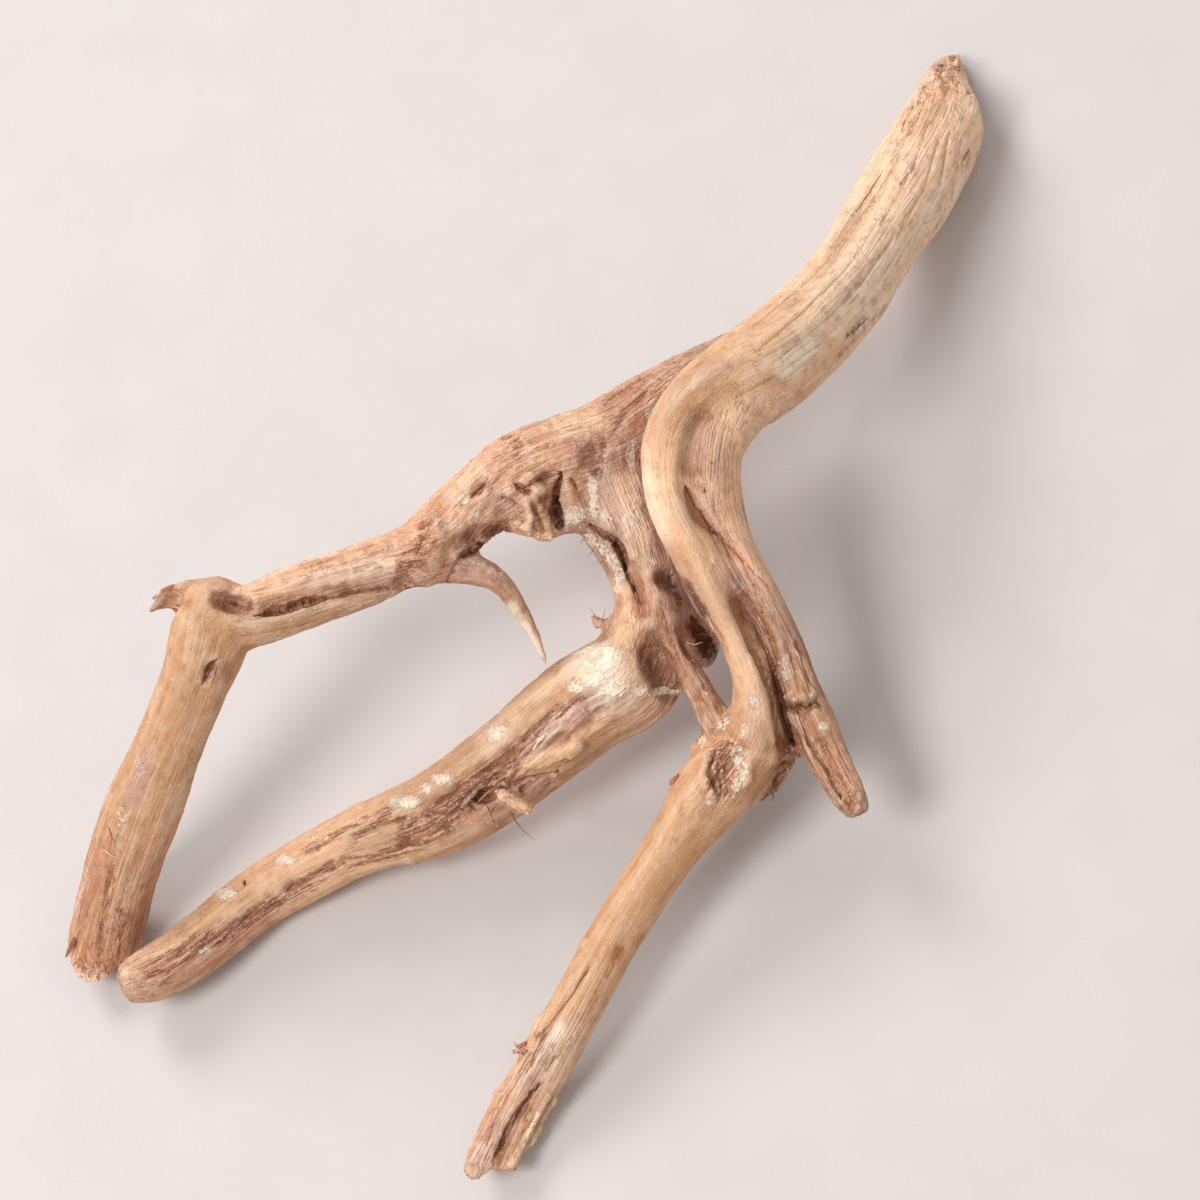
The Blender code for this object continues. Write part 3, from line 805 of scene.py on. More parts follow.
TRUNK_MARKS = GRAIN_LINES + (
    stain(ORANGE_BROWN, 2.8, 0.7, (956, 62), (946, 84), (932, 104), (914, 124)),
    stain(PINK_TAN, 2.3, 0.6, (957, 58), (950, 72), (942, 88), rise=-0.25, soft=0.4, rough=0.7),
    stain(ORANGE_BROWN, 0.7, 0.5, (957, 60), (950, 74), (944, 88)),
    bump(1.3, 0.55, (974, 96), (979, 108)),
    bump(0.7, 0.4, (937, 78)),
    bark(0.9, 0.45, (928, 86), (917, 108), (906, 128), rise=-0.3, ragged=0.6, rough=0.6),
    bark(0.5, 0.8, (943, 57), (940, 66), (937, 76), rise=-1.4, ragged=0.2, soft=0.4, rough=0.0),
    bark(0.4, 0.6, (968, 66), (965, 76), rise=-0.9, ragged=0.2, soft=0.4, rough=0.0),
    bark(0.35, 0.6, (973, 86), (968, 94), rise=-0.7, ragged=0.2, soft=0.4, rough=0.0),
    bump(1.1, 0.35, (907, 171)),
    stain(ORANGE_BROWN, 0.9, 0.5, (909, 172)),
    crack(0.3, 0.5, 1.0, (908, 173), (904, 179), (900, 185)),
    crack(0.3, 0.4, 1.0, (969, 149), (966, 156), (962, 163)),
    crack(0.3, 0.4, 0.8, (881, 174), (871, 191), (857, 211)),
    crack(0.3, 0.3, 0.4, (857, 211), (843, 233), (829, 251)),
    stain(MAUVE, 0.8, 0.7, (858, 212), (843, 236), (829, 254)),
    stain(PALE_TAN, 1.2, 0.6, (924, 100), (900, 134), (886, 160)),
    stain(PALE_TAN, 2.2, 0.75, (968, 100), (964, 126), (950, 160)),
    crack(0.45, 0.5, 1.0, (869, 317), (857, 328), (845, 338)),
    bark(0.4, 0.6, (866, 321), (850, 333)),
    crack(0.25, 0.3, 0.7, (847, 346), (839, 357)),
    crack(0.22, 0.3, 0.6, (806, 382), (796, 394)),
    stain(GREY_BROWN, 0.9, 0.4, (862, 326), (848, 345), (842, 353)),
    stain(CREAM, 1.4, 0.8, (786, 371), (800, 358), (814, 346)),
    stain(PALE_TAN, 2.6, 0.6, (905, 150), (866, 234), (820, 300), (770, 350)),
    stain(CREAM, 0.6, 0.7, (962, 176), (932, 236), (896, 290), (860, 330)),
    stain(CREAM, 0.5, 0.7, (940, 190), (910, 246), (872, 300), (836, 336)),
    stain(CREAM, 0.6, 0.6, (900, 240), (860, 292), (810, 336), (764, 366)),
    stain(YELLOW_TAN, 1.4, 0.5, (790, 336), (750, 362), (706, 392), (672, 420)),
    stain(HONEY, 1.0, 0.4, (870, 200), (830, 262), (790, 306)),
    stain(MAUVE, 1.3, 0.5, (705, 375), (722, 368), (735, 363)),
)

BEND_MARKS = (
    stain(MAUVE, 2.1, 0.8, (700, 425), (698, 445), (693, 466), rise=-0.3),
    crack(0.55, 0.8, 1.0, (686, 487), (695, 507), (706, 522), (718, 535)),
    stain(MAUVE, 1.4, 0.7, (700, 490), (712, 515), (722, 535)),
    crack(0.25, 0.35, 0.7, (718, 535), (742, 560), (770, 589)),
    crack(0.2, 0.2, 0.5, (688, 482), (699, 486), (710, 490)),
    hole(712, 463, 0.2, 0.2),
    hole(705, 492, 0.2, 0.3),
    stain(PINK_TAN, 1.8, 0.6, (715, 500), (735, 545), (758, 590)),
    stain(MAUVE, 2.6, 0.95, (738, 586), (760, 620), (778, 652)),
    stain(GREY_BROWN, 1.8, 0.85, (750, 606), (768, 640), (784, 680)),
    stain(MAUVE, 1.6, 0.9, (776, 652), (786, 668), (792, 682)),
    stain(BARK_BROWN, 1.8, 0.3, (744, 604), (762, 638), (778, 672)),
    bark(1.2, 0.55, (748, 600), (764, 634), (780, 672), rise=-0.3, ragged=0.6, soft=0.7, rough=0.6),
    crack(0.4, 0.6, 0.7, (768, 636), (778, 668), (787, 698)),
    stain(HONEY, 1.7, 0.6, (794, 662), (802, 676), (806, 690), rise=0.45, ragged=0.35, soft=0.25, rough=0.5),
    stain(
        ORANGE_BROWN, 0.9, 0.5, (780, 672), (787, 686), (790, 694), rise=0.4, ragged=0.35, soft=0.25,
        rough=0.5,
    ),
    crack(0.45, 0.8, 1.0, (788, 706), (795, 709), (801, 703)),
    crack(0.5, 0.8, 1.0, (798, 704), (806, 709), (812, 702)),
    crack(0.4, 0.7, 0.8, (810, 706), (816, 702), (821, 706)),
    stain(BARK_BROWN, 0.7, 0.6, (792, 711), (806, 713), (818, 709)),
    stain(HONEY, 0.7, 0.4, (793, 698), (804, 700), (814, 696), rise=0.3, soft=0.3, rough=0.7),
    crack(0.3, 0.45, 0.6, (796, 640), (804, 668), (810, 694)),
    crack(0.3, 0.4, 0.6, (786, 640), (794, 668), (799, 692)),
    stain(GREY_BROWN, 2.6, 0.7, (796, 712), (816, 745), (842, 785)),
    stain(ORANGE_BROWN, 1.2, 0.6, (820, 712), (840, 752), (858, 790)),
    bump(0.9, 0.4, (824, 728)),
    crack(0.5, 0.7, 1.0, (796, 704), (801, 722), (809, 746)),
    crack(0.4, 0.6, 0.9, (806, 738), (822, 766), (841, 798)),
    bark(1.2, 0.5, (820, 744), (836, 770), (850, 800), rise=0.0, ragged=0.6, soft=0.6, rough=0.6),
    bark(0.8, 0.5, (786, 716), (796, 742), (812, 776), rise=0.0, ragged=0.6, soft=0.6),
    crack(0.35, 0.5, 0.9, (827, 768), (834, 784), (841, 800)),
    stain(BARK_BROWN, 1.0, 0.5, (838, 808), (852, 813), (861, 806)),
    crusted(2.2, 0.2, (842, 792), (852, 802), rough=0.5),
    stain(GREY_BROWN, 1.8, 0.8, (846, 802), (856, 810)),
)

CENTRE_MARKS = (
    bark(1.3, 0.6, (506, 438), (516, 450)),
    stain(RED_BROWN, 3.2, 0.55, (600, 372), (625, 395), (640, 420)),
    stain(RED_BROWN, 2.6, 0.5, (640, 375), (622, 400), (610, 430)),
    stain(MAUVE, 3.4, 0.8, (615, 455), (622, 490), (640, 530)),
    stain(MAUVE, 2.4, 0.7, (585, 440), (592, 462), (600, 478)),
    stain(PALE_TAN, 2.2, 0.8, (556, 420), (571, 423), (588, 424)),
    stain(PALE_TAN, 1.6, 0.7, (560, 400), (600, 380), (640, 356)),
    stain(PALE_TAN, 1.8, 0.7, (450, 500), (462, 488), (474, 476)),
    stain(PALE_TAN, 2.8, 0.9, (636, 486), (644, 520), (654, 556)),
    stain(PALE_TAN, 2.2, 0.5, (648, 490), (654, 520), (660, 545)),
    crack(0.35, 0.5, 0.5, (655, 372), (628, 388), (604, 404)),
    crack(0.3, 0.5, 0.5, (648, 392), (626, 412), (612, 436)),
    crack(0.3, 0.5, 0.45, (560, 432), (520, 446), (486, 470)),
    crack(0.28, 0.5, 0.45, (548, 446), (516, 462), (490, 486)),
    crack(0.28, 0.4, 0.5, (545, 462), (520, 476), (500, 500)),
    crack(0.35, 0.7, 0.9, (486, 483), (479, 490), (471, 497)),
    bark(0.5, 0.6, (487, 484), (479, 492)),
    bump(0.7, 0.4, (488, 492), (482, 499)),
    crack(0.3, 0.6, 0.8, (515, 484), (524, 489), (531, 496)),
    bark(0.6, 0.7, (518, 486), (528, 492)),
    crack(0.4, 0.9, 0.9, (528, 486), (541, 479), (552, 476), (563, 473)),
    crack(0.25, 0.5, 0.8, (570, 478), (574, 483), (577, 489)),
    crack(0.25, 0.4, 0.6, (502, 496), (511, 500), (521, 507)),
    bump(0.8, 0.8, (538, 490), (547, 484)),
    bump(0.7, 0.7, (522, 503), (532, 499)),
    bump(0.7, 0.6, (508, 492)),
    bump(0.8, 0.6, (566, 488), (570, 500)),
    stain(PALE_TAN, 0.7, 0.7, (538, 490), (547, 484)),
    stain(MAUVE, 1.6, 0.6, (490, 500), (510, 508), (530, 512)),
    # Painted shade in the deep cavity right of the flap.
    slit(0.5, 1.6, 1.0, (562, 473), (556, 490), (554, 506)),
    slit(0.75, 2.0, 1.0, (554, 500), (556, 515), (563, 530)),
    stain(ORANGE_BROWN, 1.5, 0.7, (534, 508), (540, 520), (545, 531)),
    stain(PALE_TAN, 0.5, 0.8, (527, 506), (530, 518), (528, 528), rise=0.7, ragged=0.2),
    stain(LIGHT_HONEY, 0.45, 0.8, (538, 506), (544, 518), (549, 532), rise=0.7, ragged=0.25, soft=0.5),
    stain(
        PALE_TAN, 0.45, 0.9, (517, 524), (527, 528), (536, 534), (550, 536), rise=0.6, ragged=0.35, soft=0.5,
    ),
    crack(0.3, 0.6, 0.7, (536, 506), (541, 518), (544, 530)),
    # Painted shade on the underside of the ridge over the arch.
    slit(1.2, 0.6, 0.65, (461, 541), (480, 531), (503, 529), ragged=0.4, soft=0.6, taper=False, rough=0.0),
    slit(0.65, 1.2, 0.9, (486, 544), (473, 551), (461, 558)),
    slit(0.5, 0.96, 0.9, (590, 524), (603, 533), (613, 542)),
    slit(0.6, 1.44, 1.0, (611, 538), (621, 550), (626, 568)),
    slit(0.35, 0.9, 0.9, (624, 562), (629, 578), (636, 592)),
    crack(0.3, 0.6, 0.7, (632, 584), (638, 596), (643, 606)),
    bump(0.8, 0.7, (596, 520), (608, 528)),
    bump(0.7, 0.6, (628, 540), (634, 556)),
    stain(GREY_BROWN, 0.8, 0.6, (632, 566), (640, 590)),
    crusted(1.0, 0.75, (588, 538), (606, 553), (622, 573), rise=0.1, ragged=0.4, rough=0.6),
    stain(GREY_BROWN, 1.0, 0.6, (584, 530), (600, 548), (612, 566)),
    slit(0.94, 0.4, 0.45, (592, 440), (590, 460), (596, 478)),
    bark(0.35, 0.7, (604, 444), (600, 462), (598, 476), rise=-0.5, ragged=0.5, soft=0.7, rough=0.4),
    stain(GREY_BROWN, 1.9, 0.8, (441, 542), (436, 562), (431, 584)),
    bark(1.4, 0.75, (424, 528), (419, 548), (418, 566)),
    bark(1.2, 0.65, (408, 556), (400, 574), (408, 586)),
    crack(0.3, 0.5, 0.6, (430, 526), (421, 542), (416, 558)),
    crack(0.25, 0.4, 0.5, (438, 538), (430, 552), (426, 566)),
    bump(0.9, 0.25, (441, 536), (434, 560), (428, 586)),
    stain(MAUVE, 1.6, 0.85, (462, 566), (480, 570), (500, 582)),
    crusted(1.3, 0.35, (470, 562), (486, 568), (502, 580), rough=0.4),
    stain(GREY_BROWN, 0.8, 0.9, (498, 578), (522, 604), (540, 640), (548, 660)),
    stain(CREAM, 0.9, 0.6, (512, 606), (528, 634), (544, 660)),
)

HEART_MARKS = (
    stain(GREY_BROWN, 4.2, 0.85, (655, 566), (672, 600), (684, 640)),
    stain(MAUVE, 1.6, 0.6, (652, 560), (664, 590), (678, 630)),
    stain(GREY_BROWN, 2.2, 0.85, (684, 640), (704, 690), (722, 724)),
    # Painted shade on the wall behind the front limb.
    stain(BARK_BROWN, 2.6, 0.8, (690, 596), (700, 630), (708, 652)),
    # Painted shade in the dark gap to the right of the strut.
    stain(
        DARK_BROWN, 1.4, 0.8, (664, 578), (682, 590), (698, 616), (710, 652), rise=-0.6, ragged=0.4, soft=0.5,
        rough=0.3,
    ),
    # This mark and the two after it paint shade into the hollow between the middle leg and the strut.
    stain(
        BARK_BROWN, 2.2, 0.9, (646, 642), (656, 664), (668, 686), rise=-0.5, ragged=0.4, soft=0.5, rough=0.4,
    ),
    stain(DARK_BROWN, 1.2, 0.7, (652, 644), (664, 664), (672, 682)),
    stain(BARK_BROWN, 2.3, 0.7, (650, 646), (664, 676)),
    crack(0.25, 0.3, 0.5, (660, 600), (672, 640), (686, 676)),
    stain(ORANGE_BROWN, 1.2, 0.35, (736, 612), (737, 622)),
    stain(PALE_TAN, 2.2, 0.6, (752, 640), (756, 670), (758, 710)),
    stain(ORANGE_BROWN, 0.9, 0.4, (766, 682), (768, 690)),
    bark(2.9, 0.7, (728, 754), (725, 770), (722, 786), rise=-0.2, colour=PINK_TAN, ragged=0.3, soft=0.35),
    crusted(1.2, 0.75, (738, 752), (743, 768), (736, 786), rise=0.3, ragged=0.5, soft=0.7, rough=0.4),
    stain(HONEY, 0.5, 0.9, (728, 738), (709, 754), (703, 776), (715, 799), rise=0.5, ragged=0.15),
    stain(LIGHT_HONEY, 0.5, 0.9, (730, 738), (751, 756), (748, 780), (726, 801), rise=0.5, ragged=0.15),
    stain(LIGHT_HONEY, 0.25, 0.6, (720, 752), (714, 768), (719, 790), rise=0.4, ragged=0.15),
    stain(PALE_TAN, 0.25, 0.6, (727, 750), (721, 768), (725, 792), rise=0.4, ragged=0.15),
    crack(0.2, 0.4, 0.6, (716, 752), (708, 772), (715, 792)),
    stain(RED_BROWN, 0.9, 0.8, (673, 778), (674, 786)),
    bump(0.6, 0.3, (673, 782)),
    bump(0.8, 0.3, (691, 747)),
    bark(1.2, 0.8, (792, 750), (780, 776), (764, 800), rise=0.0, ragged=0.5, soft=0.6, rough=0.7),
    stain(BARK_BROWN, 1.4, 0.7, (790, 756), (776, 784), (760, 802)),
    stain(BARK_BROWN, 1.1, 0.7, (770, 664), (780, 694), (786, 722), (796, 746)),
    stain(HONEY, 1.2, 0.8, (758, 656), (768, 684), (773, 708), (778, 736), rise=0.5, ragged=0.2, soft=0.5),
    slit(0.45, 0.8, 1.0, (772, 672), (779, 698), (784, 722), (794, 747)),
    crack(0.45, 0.7, 0.9, (752, 622), (767, 656), (777, 690), (783, 716), (792, 744)),
    stain(BARK_BROWN, 1.6, 0.8, (772, 690), (780, 712), (788, 736)),
)

SIDE_MARKS = (
    stain(PINK_TAN, 2.4, 0.7, (420, 530), (360, 558), (290, 582), (250, 592)),
    stain(PINK_TAN, 1.6, 0.6, (300, 592), (350, 578), (400, 566)),
    stain(ORANGE_BROWN, 1.6, 0.6, (436, 500), (430, 530), (414, 560)),
    stain(
        None, 1.2, 0.0, (240, 596), (280, 588), (330, 577), (390, 565), rise=0.45, ragged=0.3, soft=0.35,
        rough=0.4,
    ),
    bark(0.6, 0.9, (266, 611), (290, 604), (318, 597), rise=-0.3, ragged=0.4, soft=0.6, taper=True),
    # Painted shade in the crevice under the side ridge's lower edge.
    slit(0.55, 0.8, 0.9, (256, 616), (280, 611), (306, 603), (334, 595)),
    slit(0.3, 0.4, 0.7, (326, 598), (352, 592), (390, 587)),
    stain(HONEY, 1.6, 0.7, (262, 634), (300, 624), (350, 608), (400, 598), rise=0.2),
    crust(425, 505, 14, 16, 0.5),
    stain(ORANGE_BROWN, 2.2, 0.5, (186, 588), (206, 580), (220, 584)),
    stain(BARK_BROWN, 1.5, 0.95, (220, 599), (232, 602), (244, 607), rise=-0.5, ragged=0.35, soft=0.4),
    slit(0.94, 0.24, 0.7, (226, 602), (238, 606)),
    stain(BARK_BROWN, 1.3, 0.9, (172, 592), (160, 601), (146, 614)),
    stain(HONEY, 1.1, 0.95, (214, 663), (206, 680), rise=0.5, ragged=0.3, soft=0.5),
    crack(0.4, 0.8, 1.0, (217, 659), (211, 667), (209, 674), (202, 684)),
    crack(0.25, 0.5, 0.7, (212, 661), (205, 673)),
    bark(0.7, 0.5, (219, 663), (213, 671), (206, 682), rise=0.1, ragged=0.5, soft=0.7, taper=True),
    hole(181, 604, 0.2, 0.3),
    stain(MAUVE, 1.3, 0.95, (146, 755), (140, 777), (134, 800)),
    stain(YELLOW_TAN, 1.6, 0.5, (172, 740), (160, 790), (150, 830)),
    stain(RED_BROWN, 2.2, 0.45, (100, 856), (94, 895), (88, 940)),
    bark(1.1, 0.45, (130, 880), (124, 910), (116, 950)),
    bark(0.8, 0.4, (112, 870), (106, 910), (100, 950)),
    crack(0.25, 0.4, 0.5, (110, 870), (104, 905), (98, 950)),
    crack(0.25, 0.4, 0.5, (84, 880), (80, 920), (76, 950)),
    bark(0.9, 0.6, (78, 962), (92, 975), (114, 972), rise=0.0, ragged=0.5, soft=0.6, rough=0.7),
    stain(PALE_TAN, 1.2, 0.8, (84, 979), (106, 981)),
)

MIDDLE_MARKS = (
    stain(MAUVE, 3.3, 1.0, (590, 706), (572, 718), (552, 732), (528, 750)),
    stain(CREAM, 0.6, 0.7, (576, 706), (556, 722), (540, 738)),
    stain(CREAM, 0.4, 0.7, (560, 728), (546, 740), (534, 752)),
    stain(MAUVE, 2.6, 0.5, (590, 704), (566, 718), (540, 738), (518, 758), rise=-0.5, ragged=0.7, rough=1.1),
    bark(0.6, 0.6, (580, 698), (550, 718), (520, 748)),
    stain(GREY_BROWN, 0.6, 0.7, (586, 722), (566, 736), (548, 750)),
    stain(GREY_BROWN, 2.3, 0.8, (512, 762), (490, 780), (469, 796), (440, 814), rise=-0.4, rough=0.9),
    bark(2.1, 0.75, (506, 766), (484, 786), (460, 804), (436, 822)),
    bark(2.3, 0.9, (442, 819), (426, 828), (411, 836), rise=-0.3, soft=0.6, rough=0.8),
    stain(MAUVE, 1.4, 0.7, (480, 786), (460, 800), (440, 812)),
    slit(0.41, 0.48, 0.6, (560, 702), (531, 730), (507, 757), (471, 779), (432, 808)),
    stain(LIGHT_HONEY, 1.1, 0.95, (511, 769), (530, 763), (550, 758), (576, 746), rise=0.8),
    stain(LIGHT_HONEY, 0.9, 0.8, (574, 742), (590, 730), (606, 720), rise=0.3),
    stain(HONEY, 0.5, 0.8, (500, 787), (522, 777), (554, 772), rise=0.6, ragged=0.2),
    bark(1.3, 0.5, (510, 790), (526, 785), (546, 783), rise=-0.6, ragged=0.4, soft=0.6, rough=0.4),
    stain(MAUVE, 1.3, 0.8, (512, 792), (526, 788), (548, 784)),
    slit(0.75, 1.2, 1.0, (475, 801), (489, 795), (504, 788)),
    # Painted shadow line under the raised honey lip.
    crack(0.5, 0.8, 0.9, (497, 793), (512, 782), (530, 776), (558, 771)),
    bump(0.9, 0.4, (359, 803)),
    stain(CREAM, 4.0, 0.7, (592, 664), (612, 684)),
    stain(PALE_TAN, 2.2, 0.6, (560, 684), (520, 716), (490, 742)),
    stain(ORANGE_BROWN, 1.7, 0.5, (560, 790), (500, 830), (440, 858)),
    stain(HONEY, 1.5, 0.95, (404, 824), (380, 835), (350, 848), rise=0.5),
    bark(0.8, 0.9, (404, 848), (376, 857), (345, 863)),
    bark(0.5, 0.8, (404, 818), (378, 824), (352, 838)),
    crack(0.3, 0.5, 0.7, (406, 818), (382, 822), (356, 838)),
    # Painted shade in the hollow beside the twig stub.
    stain(DARK_BROWN, 1.1, 0.55, (478, 799), (492, 793), (505, 786)),
    stain(BARK_BROWN, 1.8, 0.6, (488, 800), (497, 808), (494, 818)),
    stain(LIGHT_HONEY, 1.6, 0.8, (330, 842), (270, 876), (210, 914), (160, 950)),
    bark(0.7, 0.7, (396, 808), (366, 820), (336, 836), (306, 850)),
    bark(1.0, 0.9, (330, 866), (310, 878), (290, 890), rise=-0.3, soft=0.6, rough=0.6),
    bark(1.1, 0.5, (346, 858), (311, 884), (277, 902), rise=-0.2, soft=0.6, rough=0.6),
    bark(1.3, 0.8, (277, 902), (246, 920), (200, 946), rise=-0.3, ragged=0.8, soft=0.6, rough=0.7),
    bark(1.8, 0.75, (206, 940), (176, 956), (154, 972), rise=-0.2, ragged=0.8, soft=0.6, rough=0.6),
    stain(RED_BROWN, 2.4, 0.6, (260, 924), (196, 962), (146, 986)),
    hole(244, 883, 0.25, 0.3),
    bump(0.6, 0.35, (246, 867)),
    crack(0.25, 0.4, 0.5, (326, 870), (270, 905), (214, 940)),
    crack(0.25, 0.4, 0.5, (240, 930), (200, 955), (160, 985)),
    stain(LIGHT_HONEY, 2.2, 0.8, (618, 596), (626, 618), (630, 646)),
    stain(ORANGE_BROWN, 1.2, 0.6, (640, 650), (634, 670), (620, 700)),
    stain(BARK_BROWN, 0.8, 0.6, (417, 864)),
)

FRONT_LEG_MARKS = (
    bump(0.8, 0.35, (582, 942)),
    stain(GREY_BROWN, 0.7, 0.8, (621, 950), (617, 960), rise=-0.25, ragged=0.2, soft=0.5),
    crack(0.25, 0.3, 0.5, (616, 962), (611, 970), (607, 978)),
    crack(0.35, 0.5, 1.0, (589, 967), (572, 995), (545, 1031), (536, 1050), (530, 1066)),
    bump(0.6, 0.4, (535, 1018)),
    bark(0.7, 0.9, (516, 1048), (524, 1051), rise=0.4),
    bark(0.9, 0.6, (540, 1036), (531, 1052), (524, 1068), rise=-0.2, ragged=0.5, soft=0.6),
    stain(MAUVE, 1.5, 0.8, (548, 1040), (536, 1064), (528, 1086)),
    crack(0.3, 0.5, 0.7, (556, 1056), (546, 1072)),
    crack(0.3, 0.5, 0.6, (511, 1089), (496, 1117), (486, 1145)),
    stain(
        ORANGE_BROWN, 0.85, 0.6, (538, 1084), (520, 1109), (507, 1131), (493, 1163), rise=0.25, ragged=0.1,
        soft=0.4,
    ),
    slit(0.47, 0.4, 0.9, (540, 1082), (520, 1109), (507, 1131), (493, 1163)),
    bump(0.5, 0.4, (495, 1093)),
    bump(0.7, 0.4, (557, 1106)),
    bump(1.5, 0.55, (541, 1138), (528, 1158), (518, 1169)),
    bump(0.8, 0.4, (512, 1166), (518, 1170)),
    stain(MAUVE, 1.5, 0.75, (494, 1126), (486, 1146), (478, 1166)),
    stain(MAUVE, 0.9, 0.5, (520, 1075), (510, 1100), (504, 1122)),
    stain(HONEY, 1.8, 0.7, (548, 1102), (532, 1136), (512, 1166)),
    bump(1.0, 0.45, (464, 1168), (474, 1172)),
    stain(CREAM, 0.8, 0.8, (560, 1028), (554, 1038)),
    stain(PALE_TAN, 0.45, 0.6, (548, 1096), (530, 1130), (510, 1166), rise=0.3, ragged=0.2, soft=0.5),
    stain(PALE_TAN, 0.4, 0.5, (556, 1100), (540, 1132), (520, 1168), rise=0.3, ragged=0.2, soft=0.5),
    crack(0.25, 0.4, 0.6, (552, 1098), (535, 1131), (514, 1166)),
    stain(RED_BROWN, 0.4, 0.6, (530, 1104), (515, 1128), (500, 1158)),
)

TONE_MARKS = (
    stain(MAUVE, 2.0, 0.6, (722, 452), (712, 470), (704, 440)),
    stain(YELLOW_TAN, 2.2, 0.8, (732, 708), (744, 726), (752, 742)),
    stain(HONEY, 1.6, 0.7, (572, 690), (546, 706), (520, 728)),
    stain(YELLOW_TAN, 1.6, 0.5, (660, 860), (630, 910), (600, 960), (570, 1010)),
    stain(MAUVE, 2.4, 0.4, (736, 708), (746, 724), (752, 742)),
    stain(HONEY, 2.4, 0.45, (708, 430), (716, 450), (722, 470)),
    stain(YELLOW_TAN, 1.8, 0.4, (694, 556), (710, 584), (726, 612)),
    stain(ORANGE_BROWN, 2.4, 0.45, (196, 960), (174, 974), (154, 986)),
    stain(GREY_BROWN, 2.0, 0.4, (762, 596), (774, 618), (786, 644)),
    stain(GREY_CRUST, 2.6, 0.35, (636, 498), (642, 526), (650, 556)),
    stain(CREAM, 2.2, 0.35, (320, 582), (350, 578), (380, 570)),
    stain(GREY_CRUST, 2.8, 0.3, (880, 226), (862, 262), (836, 300), (800, 340)),
)

CRUSTS = tuple(
    crust(*patch)
    for patch in (
        (894, 147, 6, 9), (857, 254, 12, 24, 0.45), (880, 217, 14, 34, 0.2), (957, 111, 12, 26, 0.4),
        (794, 363, 34, 10, 0.5), (894, 271, 12, 22, 0.3),
        (785, 668, 14, 30, 0.6), (757, 575, 10, 20, 0.6), (824, 728, 14, 14, 0.7),
        (800, 756, 8, 20, 0.4),
        (593, 495, 10, 44), (573, 517, 25, 20), (631, 519, 20, 20), (633, 455, 12, 30), (654, 561, 7, 7),
        (663, 550, 6, 6), (464, 500, 16, 12, 0.7), (475, 515, 16, 12, 0.6), (438, 523, 12, 12, 0.7),
        (606, 515, 16, 14, 0.8), (618, 480, 10, 12, 0.5), (640, 500, 16, 24, 0.5), (602, 540, 20, 12, 0.6),
        (618, 583, 10, 24, 0.9), (648, 545, 10, 16, 0.5),
        (664, 692, 34, 8, 0.9), (664, 606, 5, 10, 0.6), (690, 662, 5, 9, 0.6), (706, 694, 5, 8, 0.6),
        (672, 640, 4, 8, 0.5), (756, 702, 16, 16, 0.8), (744, 732, 14, 16, 0.7), (700, 742, 12, 18, 0.9),
        (709, 802, 8, 8, 0.9), (722, 722, 18, 16, 0.8), (735, 590, 8, 20, 0.4), (712, 560, 8, 12, 0.5),
        (390, 545, 20, 8, 0.4), (140, 769, 10, 26, 0.5), (121, 816, 10, 22, 0.55),
        (443, 779, 24, 14), (426, 788, 16, 12), (404, 803, 32, 16), (496, 733, 22, 18), (576, 688, 20, 12),
        (600, 658, 44, 30), (616, 690, 28, 22), (594, 680, 26, 18), (640, 690, 20, 12, 0.8),
        (560, 716, 24, 14, 0.5), (538, 740, 16, 12, 0.5), (566, 752, 12, 8, 0.6), (470, 800, 12, 8, 0.5),
        (286, 860, 22, 13), (226, 894, 22, 14), (204, 951, 14, 12), (320, 838, 20, 8, 0.7),
        (640, 880, 12, 18, 0.4), (552, 1044, 10, 20, 0.5), (575, 1040, 10, 24, 0.5), (534, 1090, 14, 8, 0.5),
    )
)

MARKS = (
    *TRUNK_MARKS, *BEND_MARKS, *CENTRE_MARKS, *HEART_MARKS, *SIDE_MARKS, *MIDDLE_MARKS, *FRONT_LEG_MARKS,
    *TONE_MARKS, *CRUSTS,
)


class Sight:
    """Which points of the wood the drawing's eye sees, so that drawn marks stay on the side that shows."""

    cell = 0.5
    slack = 2.2
    turned_away = -0.05
    turned_to_eye = 0.25

    def __init__(self, leaning: Array, outward: Array) -> None:
        """Finds what each point is hidden by.

        Args:
            leaning: The points in the leaning pose.
            outward: Their outward directions, also leaning.
        """
        self.drawn = DRAWING.as_drawn(leaning)
        from_eye = leaning - np.array(DRAWING.eye)
        away = -from_eye @ np.array(DRAWING.back)
        cells = np.floor(self.drawn / self.cell).astype(np.int64)
        cells -= cells.min(axis=0) - 1
        shape = cells.max(axis=0) + 2
        nearest = np.full(shape, np.inf)
        np.minimum.at(nearest, (cells[:, 0], cells[:, 1]), away)
        around = [np.roll(nearest, shift, axis=(0, 1)) for shift in np.ndindex(3, 3)]
        nearest = np.roll(np.min(around, axis=0), (-1, -1), axis=(0, 1))
        hidden = away > nearest[cells[:, 0], cells[:, 1]] + self.slack
        facing = (unit(-from_eye) * outward).sum(axis=1)
        self.share = smooth_step(self.turned_away, self.turned_to_eye, facing) * ~hidden


@dataclass(frozen=True)
class Drift:
    """A colour that comes and goes along the grain, shown where a noise lies between two values.

    The noise's features have a length along the grain and a width across it. A coarse drift is as strong as
    the wood is coarse.
    """

    noise: Noise
    length: float
    width: float
    low: float
    high: float
    most: float
    colour: Wood
    coarse: bool = False

    def share(self, grain: GrainMap) -> Array:
        """How much of the colour shows at each point."""
        shown = self.most * smooth_step(self.low, self.high, grain.noise(self.noise, self.length, self.width))
        return shown * grain.coarse if self.coarse else shown


